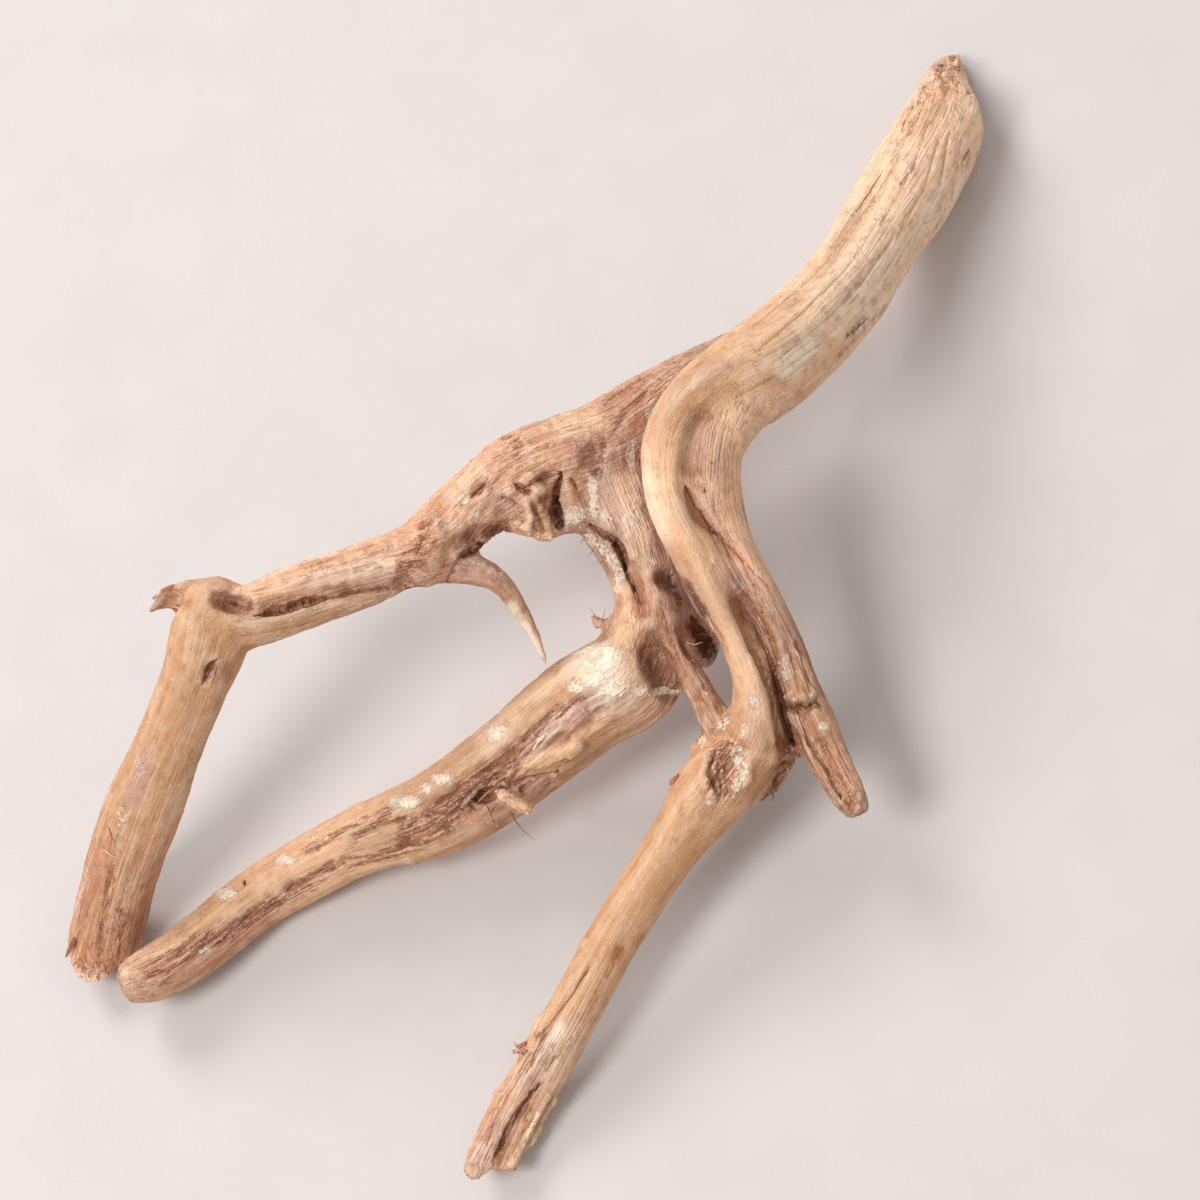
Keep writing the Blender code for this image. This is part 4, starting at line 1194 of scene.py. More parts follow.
DRIFTS = (
    Drift(LUMPS, 14.0, 2.4, 0.1, 0.6, 0.35, MAUVE),
    Drift(SPOTS, 18.0, 2.0, 0.1, 0.6, 0.3, CREAM),
    Drift(FRAY[0], 14.0, 1.0, 0.1, 0.5, 0.35, CREAM, True),
    Drift(FRAY[0], 14.0, 1.0, -0.1, -0.5, 0.4, ORANGE_BROWN, True),
)


@dataclass(frozen=True)
class Skin:
    """The wood's surface: one closed mesh with its carving and the attributes that its finish reads.

    A size in two numbers is the length and width of a noise's features along and across the grain. Other
    pairs are the values at which a mask starts and is full.
    """

    merge: float = 0.001
    voxel: float = 0.3
    most_triangles: int = 196000
    smoothing: int = 4
    inset: float = 0.06
    margin: float = 0.01
    flute_size: Pair = (24.0, 2.6)
    flute_gain: float = 1.5
    furrow_size: Pair = (20.0, 1.2)
    furrow_gain: float = 2.6
    thread_size: Pair = (8.0, 0.6)
    thread_gain: float = 0.5
    lump_size: float = 4.5
    lump_height: float = 0.16
    gnarl_size: float = 2.6
    gnarl_rise: float = 0.4
    gnarl_cut: float = 2.2
    torn_size: Pair = (4.0, 0.75)
    grit_size: float = 0.8
    fray_size: float = 1.3
    fray_gain: float = 0.6
    blotch_size: Pair = (22.0, 3.0)
    blotch_share: float = 0.07
    back_share: float = 0.7
    back_crust_size: float = 6.0
    back_crust: Pair = (0.25, 0.6)
    back_bark_size: Pair = (15.0, 2.6)
    back_bark: Pair = (0.3, 0.55)
    # The sunk tint darkens hollows: painted shade, with the staining that gathers there.
    sunk_share: float = 0.6
    sunk: Pair = (0.1, 0.7)
    sunk_passes: int = 40
    hollow_passes: int = 2
    full_hollow: float = 0.045
    far_side: float = 2.0

    def build(self, finish: bpy.types.Material) -> bpy.types.Object:
        """Makes the skin and puts it in the solid's place.

        Args:
            finish: The material of the wood.

        Returns:
            The piece.
        """
        skin = self._remeshed(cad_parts[NODE])
        self._carve(skin)
        skin = self._thinned(skin)
        self._paint(skin)
        mesh = skin.data
        mesh.transform(Matrix.Scale(MM, 4))
        mesh.shade_smooth()
        mesh.materials.clear()
        mesh.materials.append(finish)
        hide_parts(NODE)
        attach(skin, BODY)
        return skin

    def _remeshed(self, node: bpy.types.Object) -> bpy.types.Object:
        """The solid as an even fine mesh in millimetres.

        Args:
            node: The solid, in metres.

        Returns:
            A new object with the mesh.
        """
        joined = bmesh.new()
        joined.from_mesh(node.data)
        joined.transform(Matrix.Scale(1 / MM, 4))
        bmesh.ops.remove_doubles(joined, verts=joined.verts[:], dist=self.merge)
        mesh = bpy.data.meshes.new("wood_skin")
        joined.to_mesh(mesh)
        joined.free()
        skin = linked("wood_skin", mesh)
        rounded = skin.modifiers.new("rounded", "SUBSURF")
        rounded.levels = rounded.render_levels = 1
        even = skin.modifiers.new("even", "REMESH")
        even.mode = "VOXEL"
        even.voxel_size = self.voxel
        return self._applied(skin)

    @staticmethod
    def _applied(piece: bpy.types.Object) -> bpy.types.Object:
        """The piece with its modifiers applied.

        Args:
            piece: The piece, which is changed in place.

        Returns:
            The same piece.
        """
        depsgraph = bpy.context.evaluated_depsgraph_get()
        mesh = bpy.data.meshes.new_from_object(piece.evaluated_get(depsgraph))
        old = piece.data
        piece.modifiers.clear()
        piece.data = mesh
        bpy.data.meshes.remove(old)
        return piece

    def _thinned(self, skin: bpy.types.Object) -> bpy.types.Object:
        """The skin with fewer triangles where it is plain.

        Args:
            skin: The carved skin.

        Returns:
            The same skin.
        """
        corners = len(skin.data.loops)
        triangles = corners - 2 * len(skin.data.polygons)
        thin = skin.modifiers.new("thin", "DECIMATE")
        thin.ratio = min(1.0, self.most_triangles / triangles)
        thin.use_collapse_triangulate = True
        return self._applied(skin)

    def _marks(self, leaning: Array, sight: Sight) -> Iterator[tuple[Mark, Array, Array, Array]]:
        """Each drawn mark with the points that it covers.

        Args:
            leaning: The skin's points in the leaning pose.
            sight: What the eye sees of them.

        Yields:
            The mark, the numbers of its points, how much it covers them, and how far left of its middle line
            they lie.
        """
        frayed = leaning / self.fray_size
        warp = np.stack([noise.rough(frayed, gain=self.fray_gain) for noise in FRAY], axis=1)
        for mark in MARKS:
            index, cover, left = mark.cover(sight.drawn, warp)
            yield mark, index, cover * sight.share[index], left

    def _carve(self, skin: bpy.types.Object) -> None:
        """Cuts flutes, fibres, splits and the drawn marks into the skin.

        Args:
            skin: The smooth skin.
        """
        mesh = Mesh(skin.data)
        mesh.relax(self.smoothing)
        normals = mesh.normals()
        leaning = DRAWING.leaning(mesh.points)
        outward = normals @ np.array(DRAWING.lie_down)
        sight = Sight(leaning, outward)
        grain = GrainMap()
        grain.read(leaning)
        out = self.flute_gain * grain.flutes * grain.noise(BROAD, *self.flute_size)
        out += grain.fibres * (1 - self.furrow_gain * np.abs(grain.noise(FINE, *self.furrow_size)))
        out += self.thread_gain * grain.fibres * grain.noise(SPOTS, *self.thread_size)
        out += self.lump_height * LUMPS.rough(leaning / self.lump_size)
        gnarls = np.abs(SPOTS.rough(leaning / self.gnarl_size))
        out += grain.gnarl * (self.gnarl_rise - self.gnarl_cut * gnarls)
        fibrous = grain.noise(FINE, *self.torn_size, octaves=3)
        lumpy = LUMPS.rough(leaning / self.grit_size)
        for mark, index, cover, _ in self._marks(leaning, sight):
            relief = lumpy if mark.layer is Layer.CRUST else fibrous
            out[index] += (mark.rise + mark.rough * relief[index]) * cover
        mesh.points += normals * (out - self.inset)[:, None]
        low, high = (np.array(corner) / MM for corner in CAD_BOX)
        mesh.points = np.clip(mesh.points, low + self.margin, high - self.margin)
        mesh.write()

    def _paint(self, skin: bpy.types.Object) -> None:
        """Stores the wood's colours, stains and grain for its finish.

        Args:
            skin: The carved skin.
        """
        mesh = Mesh(skin.data)
        leaning = DRAWING.leaning(mesh.points)
        normals = mesh.normals()
        sight = Sight(leaning, normals @ np.array(DRAWING.lie_down))
        grain = GrainMap()
        grain.read(leaning)
        tone = grain.colours * (1 + self.blotch_share * grain.noise(BROAD, *self.blotch_size))[:, None]
        for drift in DRIFTS:
            self._tint(tone, drift.colour, drift.share(grain))
        side = np.full(len(tone), self.far_side)
        layers = {layer: np.zeros(len(tone)) for layer in Layer}
        back = self.back_share * (1 - sight.share)
        clumps = LUMPS.rough(leaning / self.back_crust_size)
        layers[Layer.CRUST] += back * smooth_step(*self.back_crust, clumps)
        layers[Layer.BARK] += back * smooth_step(*self.back_bark, grain.noise(FINE, *self.back_bark_size))
        for mark, index, cover, left in self._marks(leaning, sight):
            if mark.colour:
                shown = (mark.strength * cover)[:, None]
                tone[index] += (np.array(mark.colour.value) - tone[index]) * shown
            if mark.layer is Layer.SPLIT:
                closer = np.abs(left) < np.abs(side[index])
                side[index[closer]] = left[closer]
            if mark.layer is not Layer.TINT:
                held = layers[mark.layer]
                held[index] = np.maximum(held[index], mark.strength * cover)
        # Grey-brown by how deep a point lies in a hollow: painted shade, with the staining that gathers in
        # hollows.
        sunk = smooth_step(*self.sunk, self._sunk(mesh, normals))
        self._tint(tone, GREY_BROWN, self.sunk_share * sunk)
        torn = np.maximum(layers[Layer.BARK], layers[Layer.DARK])
        kept = {layer.value: layers[layer] for layer in Layer if layer is not Layer.TINT}
        kept |= {"tone": tone, "split_side": side, "coarse": np.maximum(grain.coarse, torn)}
        # The hollow mask drives the finish's painted shade in grooves and painted highlight on ridges.
        kept["hollow"] = self._hollow(mesh, normals)
        for number, (place, weight) in enumerate(zip(grain.places, grain.weights)):
            kept |= {f"grain_{number}": place, f"weight_{number}": weight}
        for name, values in kept.items():
            self._store(skin, name, values)

    @staticmethod
    def _tint(tone: Array, colour: Wood, share: Array) -> None:
        """Mixes a colour into the tone."""
        tone += (np.array(colour.value) - tone) * share[:, None]

    def _hollow(self, mesh: Mesh, normals: Array) -> Array:
        """How grooved or ridged the skin is.

        Args:
            mesh: The skin's mesh.
            normals: The outward direction at each point.

        Returns:
            Above 0 in grooves and below it on ridges, from -1 to 1.
        """
        pull = mesh.averaged(mesh.points) - mesh.points
        bend = (pull * normals).sum(axis=1)[:, None]
        for _ in range(self.hollow_passes):
            bend = mesh.averaged(bend)
        return np.clip(bend[:, 0] / self.full_hollow, -1, 1)

    def _sunk(self, mesh: Mesh, normals: Array) -> Array:
        """How deep each point lies below the smoothed wood around it.

        Args:
            mesh: The skin's mesh.
            normals: The outward direction at each point.

        Returns:
            Millimetres, one value a point.
        """
        around = mesh.points
        for _ in range(self.sunk_passes):
            around = mesh.averaged(around)
        return ((around - mesh.points) * normals).sum(axis=1)

    @staticmethod
    def _store(skin: bpy.types.Object, name: str, values: Array) -> None:
        """Keeps one value, vector or colour a point on the mesh.

        Args:
            skin: The skin.
            name: The name that the finish asks for.
            values: One row a point.
        """
        if values.ndim == 1:
            attribute = skin.data.attributes.new(name, "FLOAT", "POINT")
            attribute.data.foreach_set("value", values.astype(np.float32))
        elif name == "tone":
            attribute = skin.data.attributes.new(name, "FLOAT_COLOR", "POINT")
            full = np.ones((len(values), 4), np.float32)
            full[:, :3] = np.clip(values, 0, 1)
            attribute.data.foreach_set("color", full.ravel())
        else:
            attribute = skin.data.attributes.new(name, "FLOAT_VECTOR", "POINT")
            attribute.data.foreach_set("vector", values.astype(np.float32).ravel())


class Pattern(Enum):
    """What a wash of colour follows."""

    STREAK = "long streaks of the grain"
    FIBRE = "fibres of the grain"
    SPECKLE = "fine specks"
    CLOUD = "soft clouds"
    # The grooves and ridges pattern paints shade into grooves and a highlight onto ridges.
    HOLLOW = "grooves and ridges"
    # Painted shade inside pits and slits.
    DARK = "pits and slits"
    COARSE = "how coarse the wood is"


@dataclass(frozen=True)
class Wash:
    """A thin layer of colour, shown where a pattern lies between two values.

    A wash that darkens multiplies the colour under it. A grainy one is as strong as the wood is coarse.
    """

    pattern: Pattern
    low: float
    high: float
    most: float
    colour: Colour
    darkens: bool = False
    grainy: bool = False


class Graph:
    """A material's nodes, added and joined in a few words."""

    def __init__(self, name: str) -> None:
        """Starts an empty material.

        Args:
            name: The material's name.
        """
        self.material = bpy.data.materials.new(name)
        self.material.use_nodes = True
        self.nodes = self.material.node_tree.nodes
        self.links = self.material.node_tree.links
        self.nodes.clear()
        self.shader = self.nodes.new("ShaderNodeBsdfPrincipled")
        output = self.nodes.new("ShaderNodeOutputMaterial")
        self.links.new(self.shader.outputs[0], output.inputs["Surface"])

    def _feed(self, node: bpy.types.Node, values: dict[str | int, Value]) -> bpy.types.Node:
        """Sets or links a node's inputs.

        Args:
            node: The node.
            values: Numbers, tuples or sockets, by the input's name or number.

        Returns:
            The same node.
        """
        for key, value in values.items():
            socket = node.inputs[key]
            if isinstance(value, Socket):
                self.links.new(value, socket)
            else:
                socket.default_value = value
        return node

    def _node(self, kind: str, values: dict[str | int, Value], **settings: str) -> bpy.types.Node:
        """Adds a node.

        Args:
            kind: What kind of shader node it is.
            values: What its inputs hold.
            settings: Its own settings.

        Returns:
            The node.
        """
        node = self.nodes.new("ShaderNode" + kind)
        for name, value in settings.items():
            setattr(node, name, value)
        return self._feed(node, values)

    def attribute(self, name: str, output: str = "Fac") -> Socket:
        """What a point of the mesh holds under a name."""
        return self._node("Attribute", {}, attribute_name=name).outputs[output]

    def place(self) -> Socket:
        """Where a point lies on its piece, in metres."""
        return self._node("TexCoord", {}).outputs["Object"]

    def math(self, operation: str, *values: Value) -> Socket:
        """One sum on numbers or sockets."""
        return self._node("Math", dict(enumerate(values)), operation=operation).outputs[0]

    def plus(self, one: Value, other: Value) -> Socket:
        """The sum of two values."""
        return self.math("ADD", one, other)

    def minus(self, one: Value, other: Value) -> Socket:
        """One value less another."""
        return self.math("SUBTRACT", one, other)

    def times(self, one: Value, other: Value) -> Socket:
        """Two values multiplied."""
        return self.math("MULTIPLY", one, other)

    def scaled(self, vector: Socket, factors: Colour) -> Socket:
        """A vector times three factors."""
        return self._node("VectorMath", {0: vector, 1: factors}, operation="MULTIPLY").outputs[0]

    def noise(self, vector: Socket, scale: float, detail: float = 3.0) -> Socket:
        """Noise from 0 to 1."""
        return self._node("TexNoise", {"Vector": vector, "Scale": scale, "Detail": detail}).outputs[0]

    def step(self, value: Socket, low: float, high: float, least: float = 0.0, most: float = 1.0) -> Socket:
        """A smooth ramp of a value from least to most."""
        values = {"Value": value, "From Min": low, "From Max": high, "To Min": least, "To Max": most}
        return self._node("MapRange", values, interpolation_type="SMOOTHSTEP").outputs[0]

    def mix(self, share: Value, base: Value, over: Value, way: str = "MIX") -> Socket:
        """Mixes two colours.

        Args:
            share: How much of the second shows.
            base: The first.
            over: The second.
            way: How they are mixed, in the shader's own word.

        Returns:
            The mixed colour.
        """
        colours = [(*value, 1.0) if isinstance(value, tuple) else value for value in (base, over)]
        values = {0: share, 6: colours[0], 7: colours[1]}
        return self._node("Mix", values, data_type="RGBA", blend_type=way).outputs[2]

    def washed(self, colour: Value, washes: tuple[Wash, ...], patterns: dict[Pattern, Socket]) -> Socket:
        """A colour with washes laid over it.

        Args:
            colour: The colour under them.
            washes: The washes, in order.
            patterns: The socket of each pattern that they follow.

        Returns:
            The colour over them.
        """
        for wash in washes:
            share = self.step(patterns[wash.pattern], wash.low, wash.high, 0.0, wash.most)
            if wash.grainy:
                share = self.times(share, patterns[Pattern.COARSE])
            colour = self.mix(share, colour, wash.colour, "MULTIPLY" if wash.darkens else "MIX")
        return colour

    def bump(self, height: Socket, strength: float, distance: float) -> None:
        """Bends the shading by a height."""
        node = self._node("Bump", {"Height": height, "Strength": strength, "Distance": distance})
        self.links.new(node.outputs[0], self.shader.inputs["Normal"])

    def finish(self, **values: Value) -> bpy.types.Material:
        """Feeds the shader and hands the material over."""
        self._feed(self.shader, {key.replace("_", " "): value for key, value in values.items()})
        return self.material


DARK_STREAK = (0.8, 0.66, 0.56)
DARK_FIBRE = (0.72, 0.58, 0.48)
DARK_VEIN = (0.55, 0.4, 0.32)
DARK_CLOUD = (0.86, 0.74, 0.64)
# Painted shade, laid into grooves by the hollow mask.
PAINTED_GROOVE_SHADE = (0.6, 0.44, 0.34)

GRAIN_WASHES = (
    Wash(Pattern.STREAK, 0.5, 0.64, 0.5, DARK_STREAK, darkens=True, grainy=True),
    Wash(Pattern.STREAK, 0.49, 0.36, 0.4, CREAM.value, grainy=True),
    Wash(Pattern.FIBRE, 0.52, 0.68, 0.55, DARK_FIBRE, darkens=True, grainy=True),
    Wash(Pattern.FIBRE, 0.46, 0.32, 0.3, CREAM.value, grainy=True),
)
# Weathered clouds and crust specks, with painted shade in grooves and a painted highlight on ridges.
WEATHER_AND_SHADE_WASHES = (
    Wash(Pattern.CLOUD, 0.5, 0.64, 0.3, DARK_CLOUD, darkens=True),
    # Painted shade in grooves.
    Wash(Pattern.HOLLOW, 0.1, 0.9, 0.55, PAINTED_GROOVE_SHADE, darkens=True),
    # Painted highlight on ridges.
    Wash(Pattern.HOLLOW, -0.1, -0.8, 0.2, CREAM.value),
    Wash(Pattern.SPECKLE, 0.66, 0.72, 0.45, CRUST.value),
)
BARK_WASHES = (
    Wash(Pattern.FIBRE, 0.35, 0.65, 1.0, BARK_BROWN.value),
    Wash(Pattern.STREAK, 0.5, 0.4, 0.7, PINK_TAN.value),
    Wash(Pattern.SPECKLE, 0.56, 0.66, 0.5, CREAM.value),
)
CRUST_WASHES = (Wash(Pattern.CLOUD, 0.45, 0.62, 1.0, GREY_CRUST.value),)
# Painted shade inside pits and slits, brown then dark brown.
PIT_SHADE_WASHES = (
    Wash(Pattern.DARK, 0.15, 0.6, 0.75, BARK_BROWN.value),
    Wash(Pattern.DARK, 0.5, 1.1, 0.8, DARK_BROWN.value),
)
FIBRE_WASHES = (
    Wash(Pattern.SPECKLE, 0.42, 0.66, 0.6, BARK_BROWN.value),
    Wash(Pattern.CLOUD, 0.5, 0.7, 0.5, CREAM.value),
)


@dataclass(frozen=True)
class WeatheredWood:
    """Bleached, water-worn wood: long fibres, pale crust, brown under-bark and dark cracks.

    A fray is how much the noises move the edge of a stored mask, and an edge is the values at which the mask
    starts and is full.
    """

    streak: Colour = (0.035, 2.3, 2.3)
    fibre: Colour = (0.15, 4.2, 4.2)
    grain_detail: float = 2.0
    speckle_scale: float = 2200.0
    cloud_scale: float = 500.0
    vein_width: float = 0.025
    vein_clouds: Pair = (0.45, 0.6)
    vein_share: float = 0.35
    bark_fray: tuple[float, float, float] = (1.6, 1.2, 0.8)
    bark_edge: Pair = (0.35, 0.8)
    crust_fray: tuple[float, float, float] = (1.6, 1.4, 0.4)
    crust_edge: Pair = (0.35, 0.85)
    patch_share: float = 0.85
    dark_fray: Pair = (2.6, 2.2)
    dark_start: float = 1.4
    split_sway: float = 0.5
    split_width: Pair = (0.14, 0.02)
    split_fray: float = 0.6
    split_edge: Pair = (0.2, 1.0)
    split_share: float = 0.55
    fibre_height: float = 1.1
    vein_height: float = -0.3
    height_range: Pair = (0.25, 1.15)
    split_height: float = -0.6
    speckle_height: float = 0.35
    crust_height: float = 0.3
    bump_height: float = 0.00045
    roughness: float = 0.72
    crust_roughness: float = 0.92
    specular: float = 0.28

    def _along_grain(self, graph: Graph, stretch: Colour) -> Socket:
        """Noise drawn out along the grain, joined over the three channels.

        Args:
            graph: The material's nodes.
            stretch: How fast the noise changes along the grain and across it.

        Returns:
            The noise.
        """
        total = None
        for number in range(3):
            place = graph.scaled(graph.attribute(f"grain_{number}", "Vector"), stretch)
            noise = graph.noise(place, 1.0, self.grain_detail)
            part = graph.times(noise, graph.attribute(f"weight_{number}"))
            total = part if total is None else graph.plus(total, part)
        return total

    @staticmethod
    def _frayed(graph: Graph, name: str, *parts: tuple[Socket, float]) -> Socket:
        """A stored mask with noises added to it, which fray its edge.

        Args:
            graph: The material's nodes.
            name: The mask's name.
            parts: Each noise and its amount.

        Returns:
            The frayed mask.
        """
        total = graph.attribute(name)
        for noise, amount in parts:
            total = graph.plus(total, graph.times(graph.minus(noise, 0.5), amount))
        return total

    def material(self) -> bpy.types.Material:
        """Builds the finish.

        Returns:
            The material.
        """
        graph = Graph("weathered_wood")
        streak = self._along_grain(graph, self.streak)
        fibre = self._along_grain(graph, self.fibre)
        speckle = graph.noise(graph.place(), self.speckle_scale)
        cloud = graph.noise(graph.place(), self.cloud_scale)
        coarse = graph.attribute("coarse")
        dark = graph.plus(graph.times(fibre, self.dark_fray[0]), graph.times(cloud, self.dark_fray[1]))
        patterns = {
            Pattern.STREAK: streak,
            Pattern.FIBRE: fibre,
            Pattern.SPECKLE: speckle,
            Pattern.CLOUD: cloud,
            Pattern.HOLLOW: graph.attribute("hollow"),
            # Painted shade inside pits and slits, frayed by fibre and cloud noise.
            Pattern.DARK: graph.times(graph.attribute("dark"), graph.minus(dark, self.dark_start)),
            Pattern.COARSE: coarse,
        }
        vein = graph.step(graph.math("ABSOLUTE", graph.minus(streak, 0.5)), self.vein_width, 0.0)
        vein = graph.times(vein, graph.step(cloud, *self.vein_clouds))
        colour = graph.washed(graph.attribute("tone", "Color"), GRAIN_WASHES, patterns)
        veins = graph.times(graph.times(vein, coarse), self.vein_share)
        colour = graph.mix(veins, colour, DARK_VEIN, "MULTIPLY")
        # Weathering washes, with painted shade in grooves and a painted highlight on ridges.
        colour = graph.washed(colour, WEATHER_AND_SHADE_WASHES, patterns)
        torn = self._frayed(graph, "bark", *zip((fibre, streak, cloud), self.bark_fray))
        torn = graph.step(torn, *self.bark_edge, 0.0, self.patch_share)
        colour = graph.mix(torn, colour, graph.washed(RED_BROWN.value, BARK_WASHES, patterns))
        crust_share = self._frayed(graph, "crust", *zip((speckle, cloud, fibre), self.crust_fray))
        crust_share = graph.step(crust_share, *self.crust_edge, 0.0, self.patch_share)
        colour = graph.mix(crust_share, colour, graph.washed(CRUST.value, CRUST_WASHES, patterns))
        # Painted shade inside pits and slits.
        colour = graph.washed(colour, PIT_SHADE_WASHES, patterns)
        sway = graph.times(graph.minus(cloud, 0.5), self.split_sway)
        split = graph.math("ABSOLUTE", graph.plus(graph.attribute("split_side"), sway))
        split = graph.step(split, *self.split_width)
        open_share = graph.step(self._frayed(graph, "split", (fibre, self.split_fray)), *self.split_edge)
        split = graph.times(split, open_share)
        colour = graph.mix(graph.times(split, self.split_share), colour, DARK_BROWN.value)
        height = graph.plus(graph.times(fibre, self.fibre_height), streak)
        height = graph.plus(height, graph.times(vein, self.vein_height))
        height = graph.times(height, graph.step(coarse, 0.0, 1.0, *self.height_range))
        height = graph.plus(height, graph.times(split, self.split_height))
        height = graph.plus(height, graph.times(speckle, self.speckle_height))
        height = graph.plus(height, graph.times(crust_share, self.crust_height))
        graph.bump(height, 1.0, self.bump_height)
        roughness = graph.step(crust_share, 0.0, 1.0, self.roughness, self.crust_roughness)
        return graph.finish(Base_Color=colour, Roughness=roughness, Specular_IOR_Level=self.specular)


@dataclass(frozen=True)
class StudioPaper:
    """A plain pale floor."""

    colour: Colour = paint(206, 200, 198)
    tooth_scale: float = 60.0
    tooth_edge: Pair = (0.3, 0.7)
    shade: float = 0.97
    roughness: float = 0.9

    def material(self) -> bpy.types.Material:
        """Builds the finish.

        Returns:
            The material.
        """
        graph = Graph("studio_paper")
        tooth = graph.step(graph.noise(graph.place(), self.tooth_scale, 2.0), *self.tooth_edge)
        colour = graph.mix(tooth, self.colour, tuple(self.shade * part for part in self.colour))
        return graph.finish(Base_Color=colour, Roughness=self.roughness)


@dataclass(frozen=True)
class SoftLight:
    """One soft panel, placed by its direction from the branch."""

    name: str
    azimuth: float
    elevation: float
    distance: float
    size: float
    power: float

    def hang(self) -> None:
        """Puts the panel up, facing the branch."""
        lamp = bpy.data.lights.new(self.name, "AREA")
        lamp.shape = "DISK"
        lamp.size = self.size
        lamp.energy = self.power
        holder = linked(self.name, lamp)
        a, e = math.radians(self.azimuth), math.radians(self.elevation)
        toward = Vector((math.sin(a) * math.cos(e), -math.cos(a) * math.cos(e), math.sin(e)))
        holder.location = toward * self.distance
        holder.rotation_euler = toward.to_track_quat("Z", "Y").to_euler()


@dataclass(frozen=True)
class Studio:
    """The floor, the lights and the camera."""

    floor_size: float = 6.0
    sky: float = 0.58
    sky_colour: Colour = (1.0, 0.985, 0.97)
    lights: tuple[SoftLight, ...] = (
        SoftLight("key_panel", -48.0, 56.0, 1.3, 0.5, 9.5),
        SoftLight("rim_panel", -140.0, 40.0, 1.3, 0.6, 8.5),
    )

    def build(self) -> None:
        """Sets the studio up."""
        mesh = bpy.data.meshes.new("floor")
        half = self.floor_size / 2
        corners = [(-half, -half, 0), (half, -half, 0), (half, half, 0), (-half, half, 0)]
        mesh.from_pydata(corners, [], [(0, 1, 2, 3)])
        mesh.materials.append(StudioPaper().material())
        floor = linked("floor", mesh)
        for light in self.lights:
            light.hang()
        self._sky()
        self._camera()
        bpy.context.scene.view_settings.view_transform = "Standard"

    def _sky(self) -> None:
        """Lights the branch evenly from all round."""
        world = bpy.data.worlds.new("soft_room")
        world.use_nodes = True
        background = world.node_tree.nodes["Background"]
        background.inputs["Color"].default_value = (*self.sky_colour, 1.0)
        background.inputs["Strength"].default_value = self.sky
        bpy.context.scene.world = world

    def _camera(self) -> None:
        """Looks at the branch as the photograph does."""
        lens = bpy.data.cameras.new("camera")
        lens.lens = DRAWING.lens
        lens.sensor_width = DRAWING.sensor
        lens.clip_start = 0.01
        camera = linked("camera", lens)
        camera.matrix_world = DRAWING.camera_matrix()
        bpy.context.scene.camera = camera


@dataclass(frozen=True)
class Sliver:
    """A hair, fibre, splinter or flake that stands off the wood.

    Each point is a spot and how many millimetres it is nearer to the eye than the wood under the first spot.
    """

    points: tuple[Along, ...]
    width: float
    thickness: float
    colour: Wood = ORANGE_BROWN
    blunt: float = 0.15


def hair(colour: Wood, width: float, *points: Along) -> Sliver:
    """A thin round fibre."""
    return Sliver(points, width, width, colour)


def flake(colour: Wood, width: float, *points: Along, blunt: float = 0.35) -> Sliver:
    """A thin strip of bark or wood."""
    return Sliver(points, width, 0.3, colour, blunt)


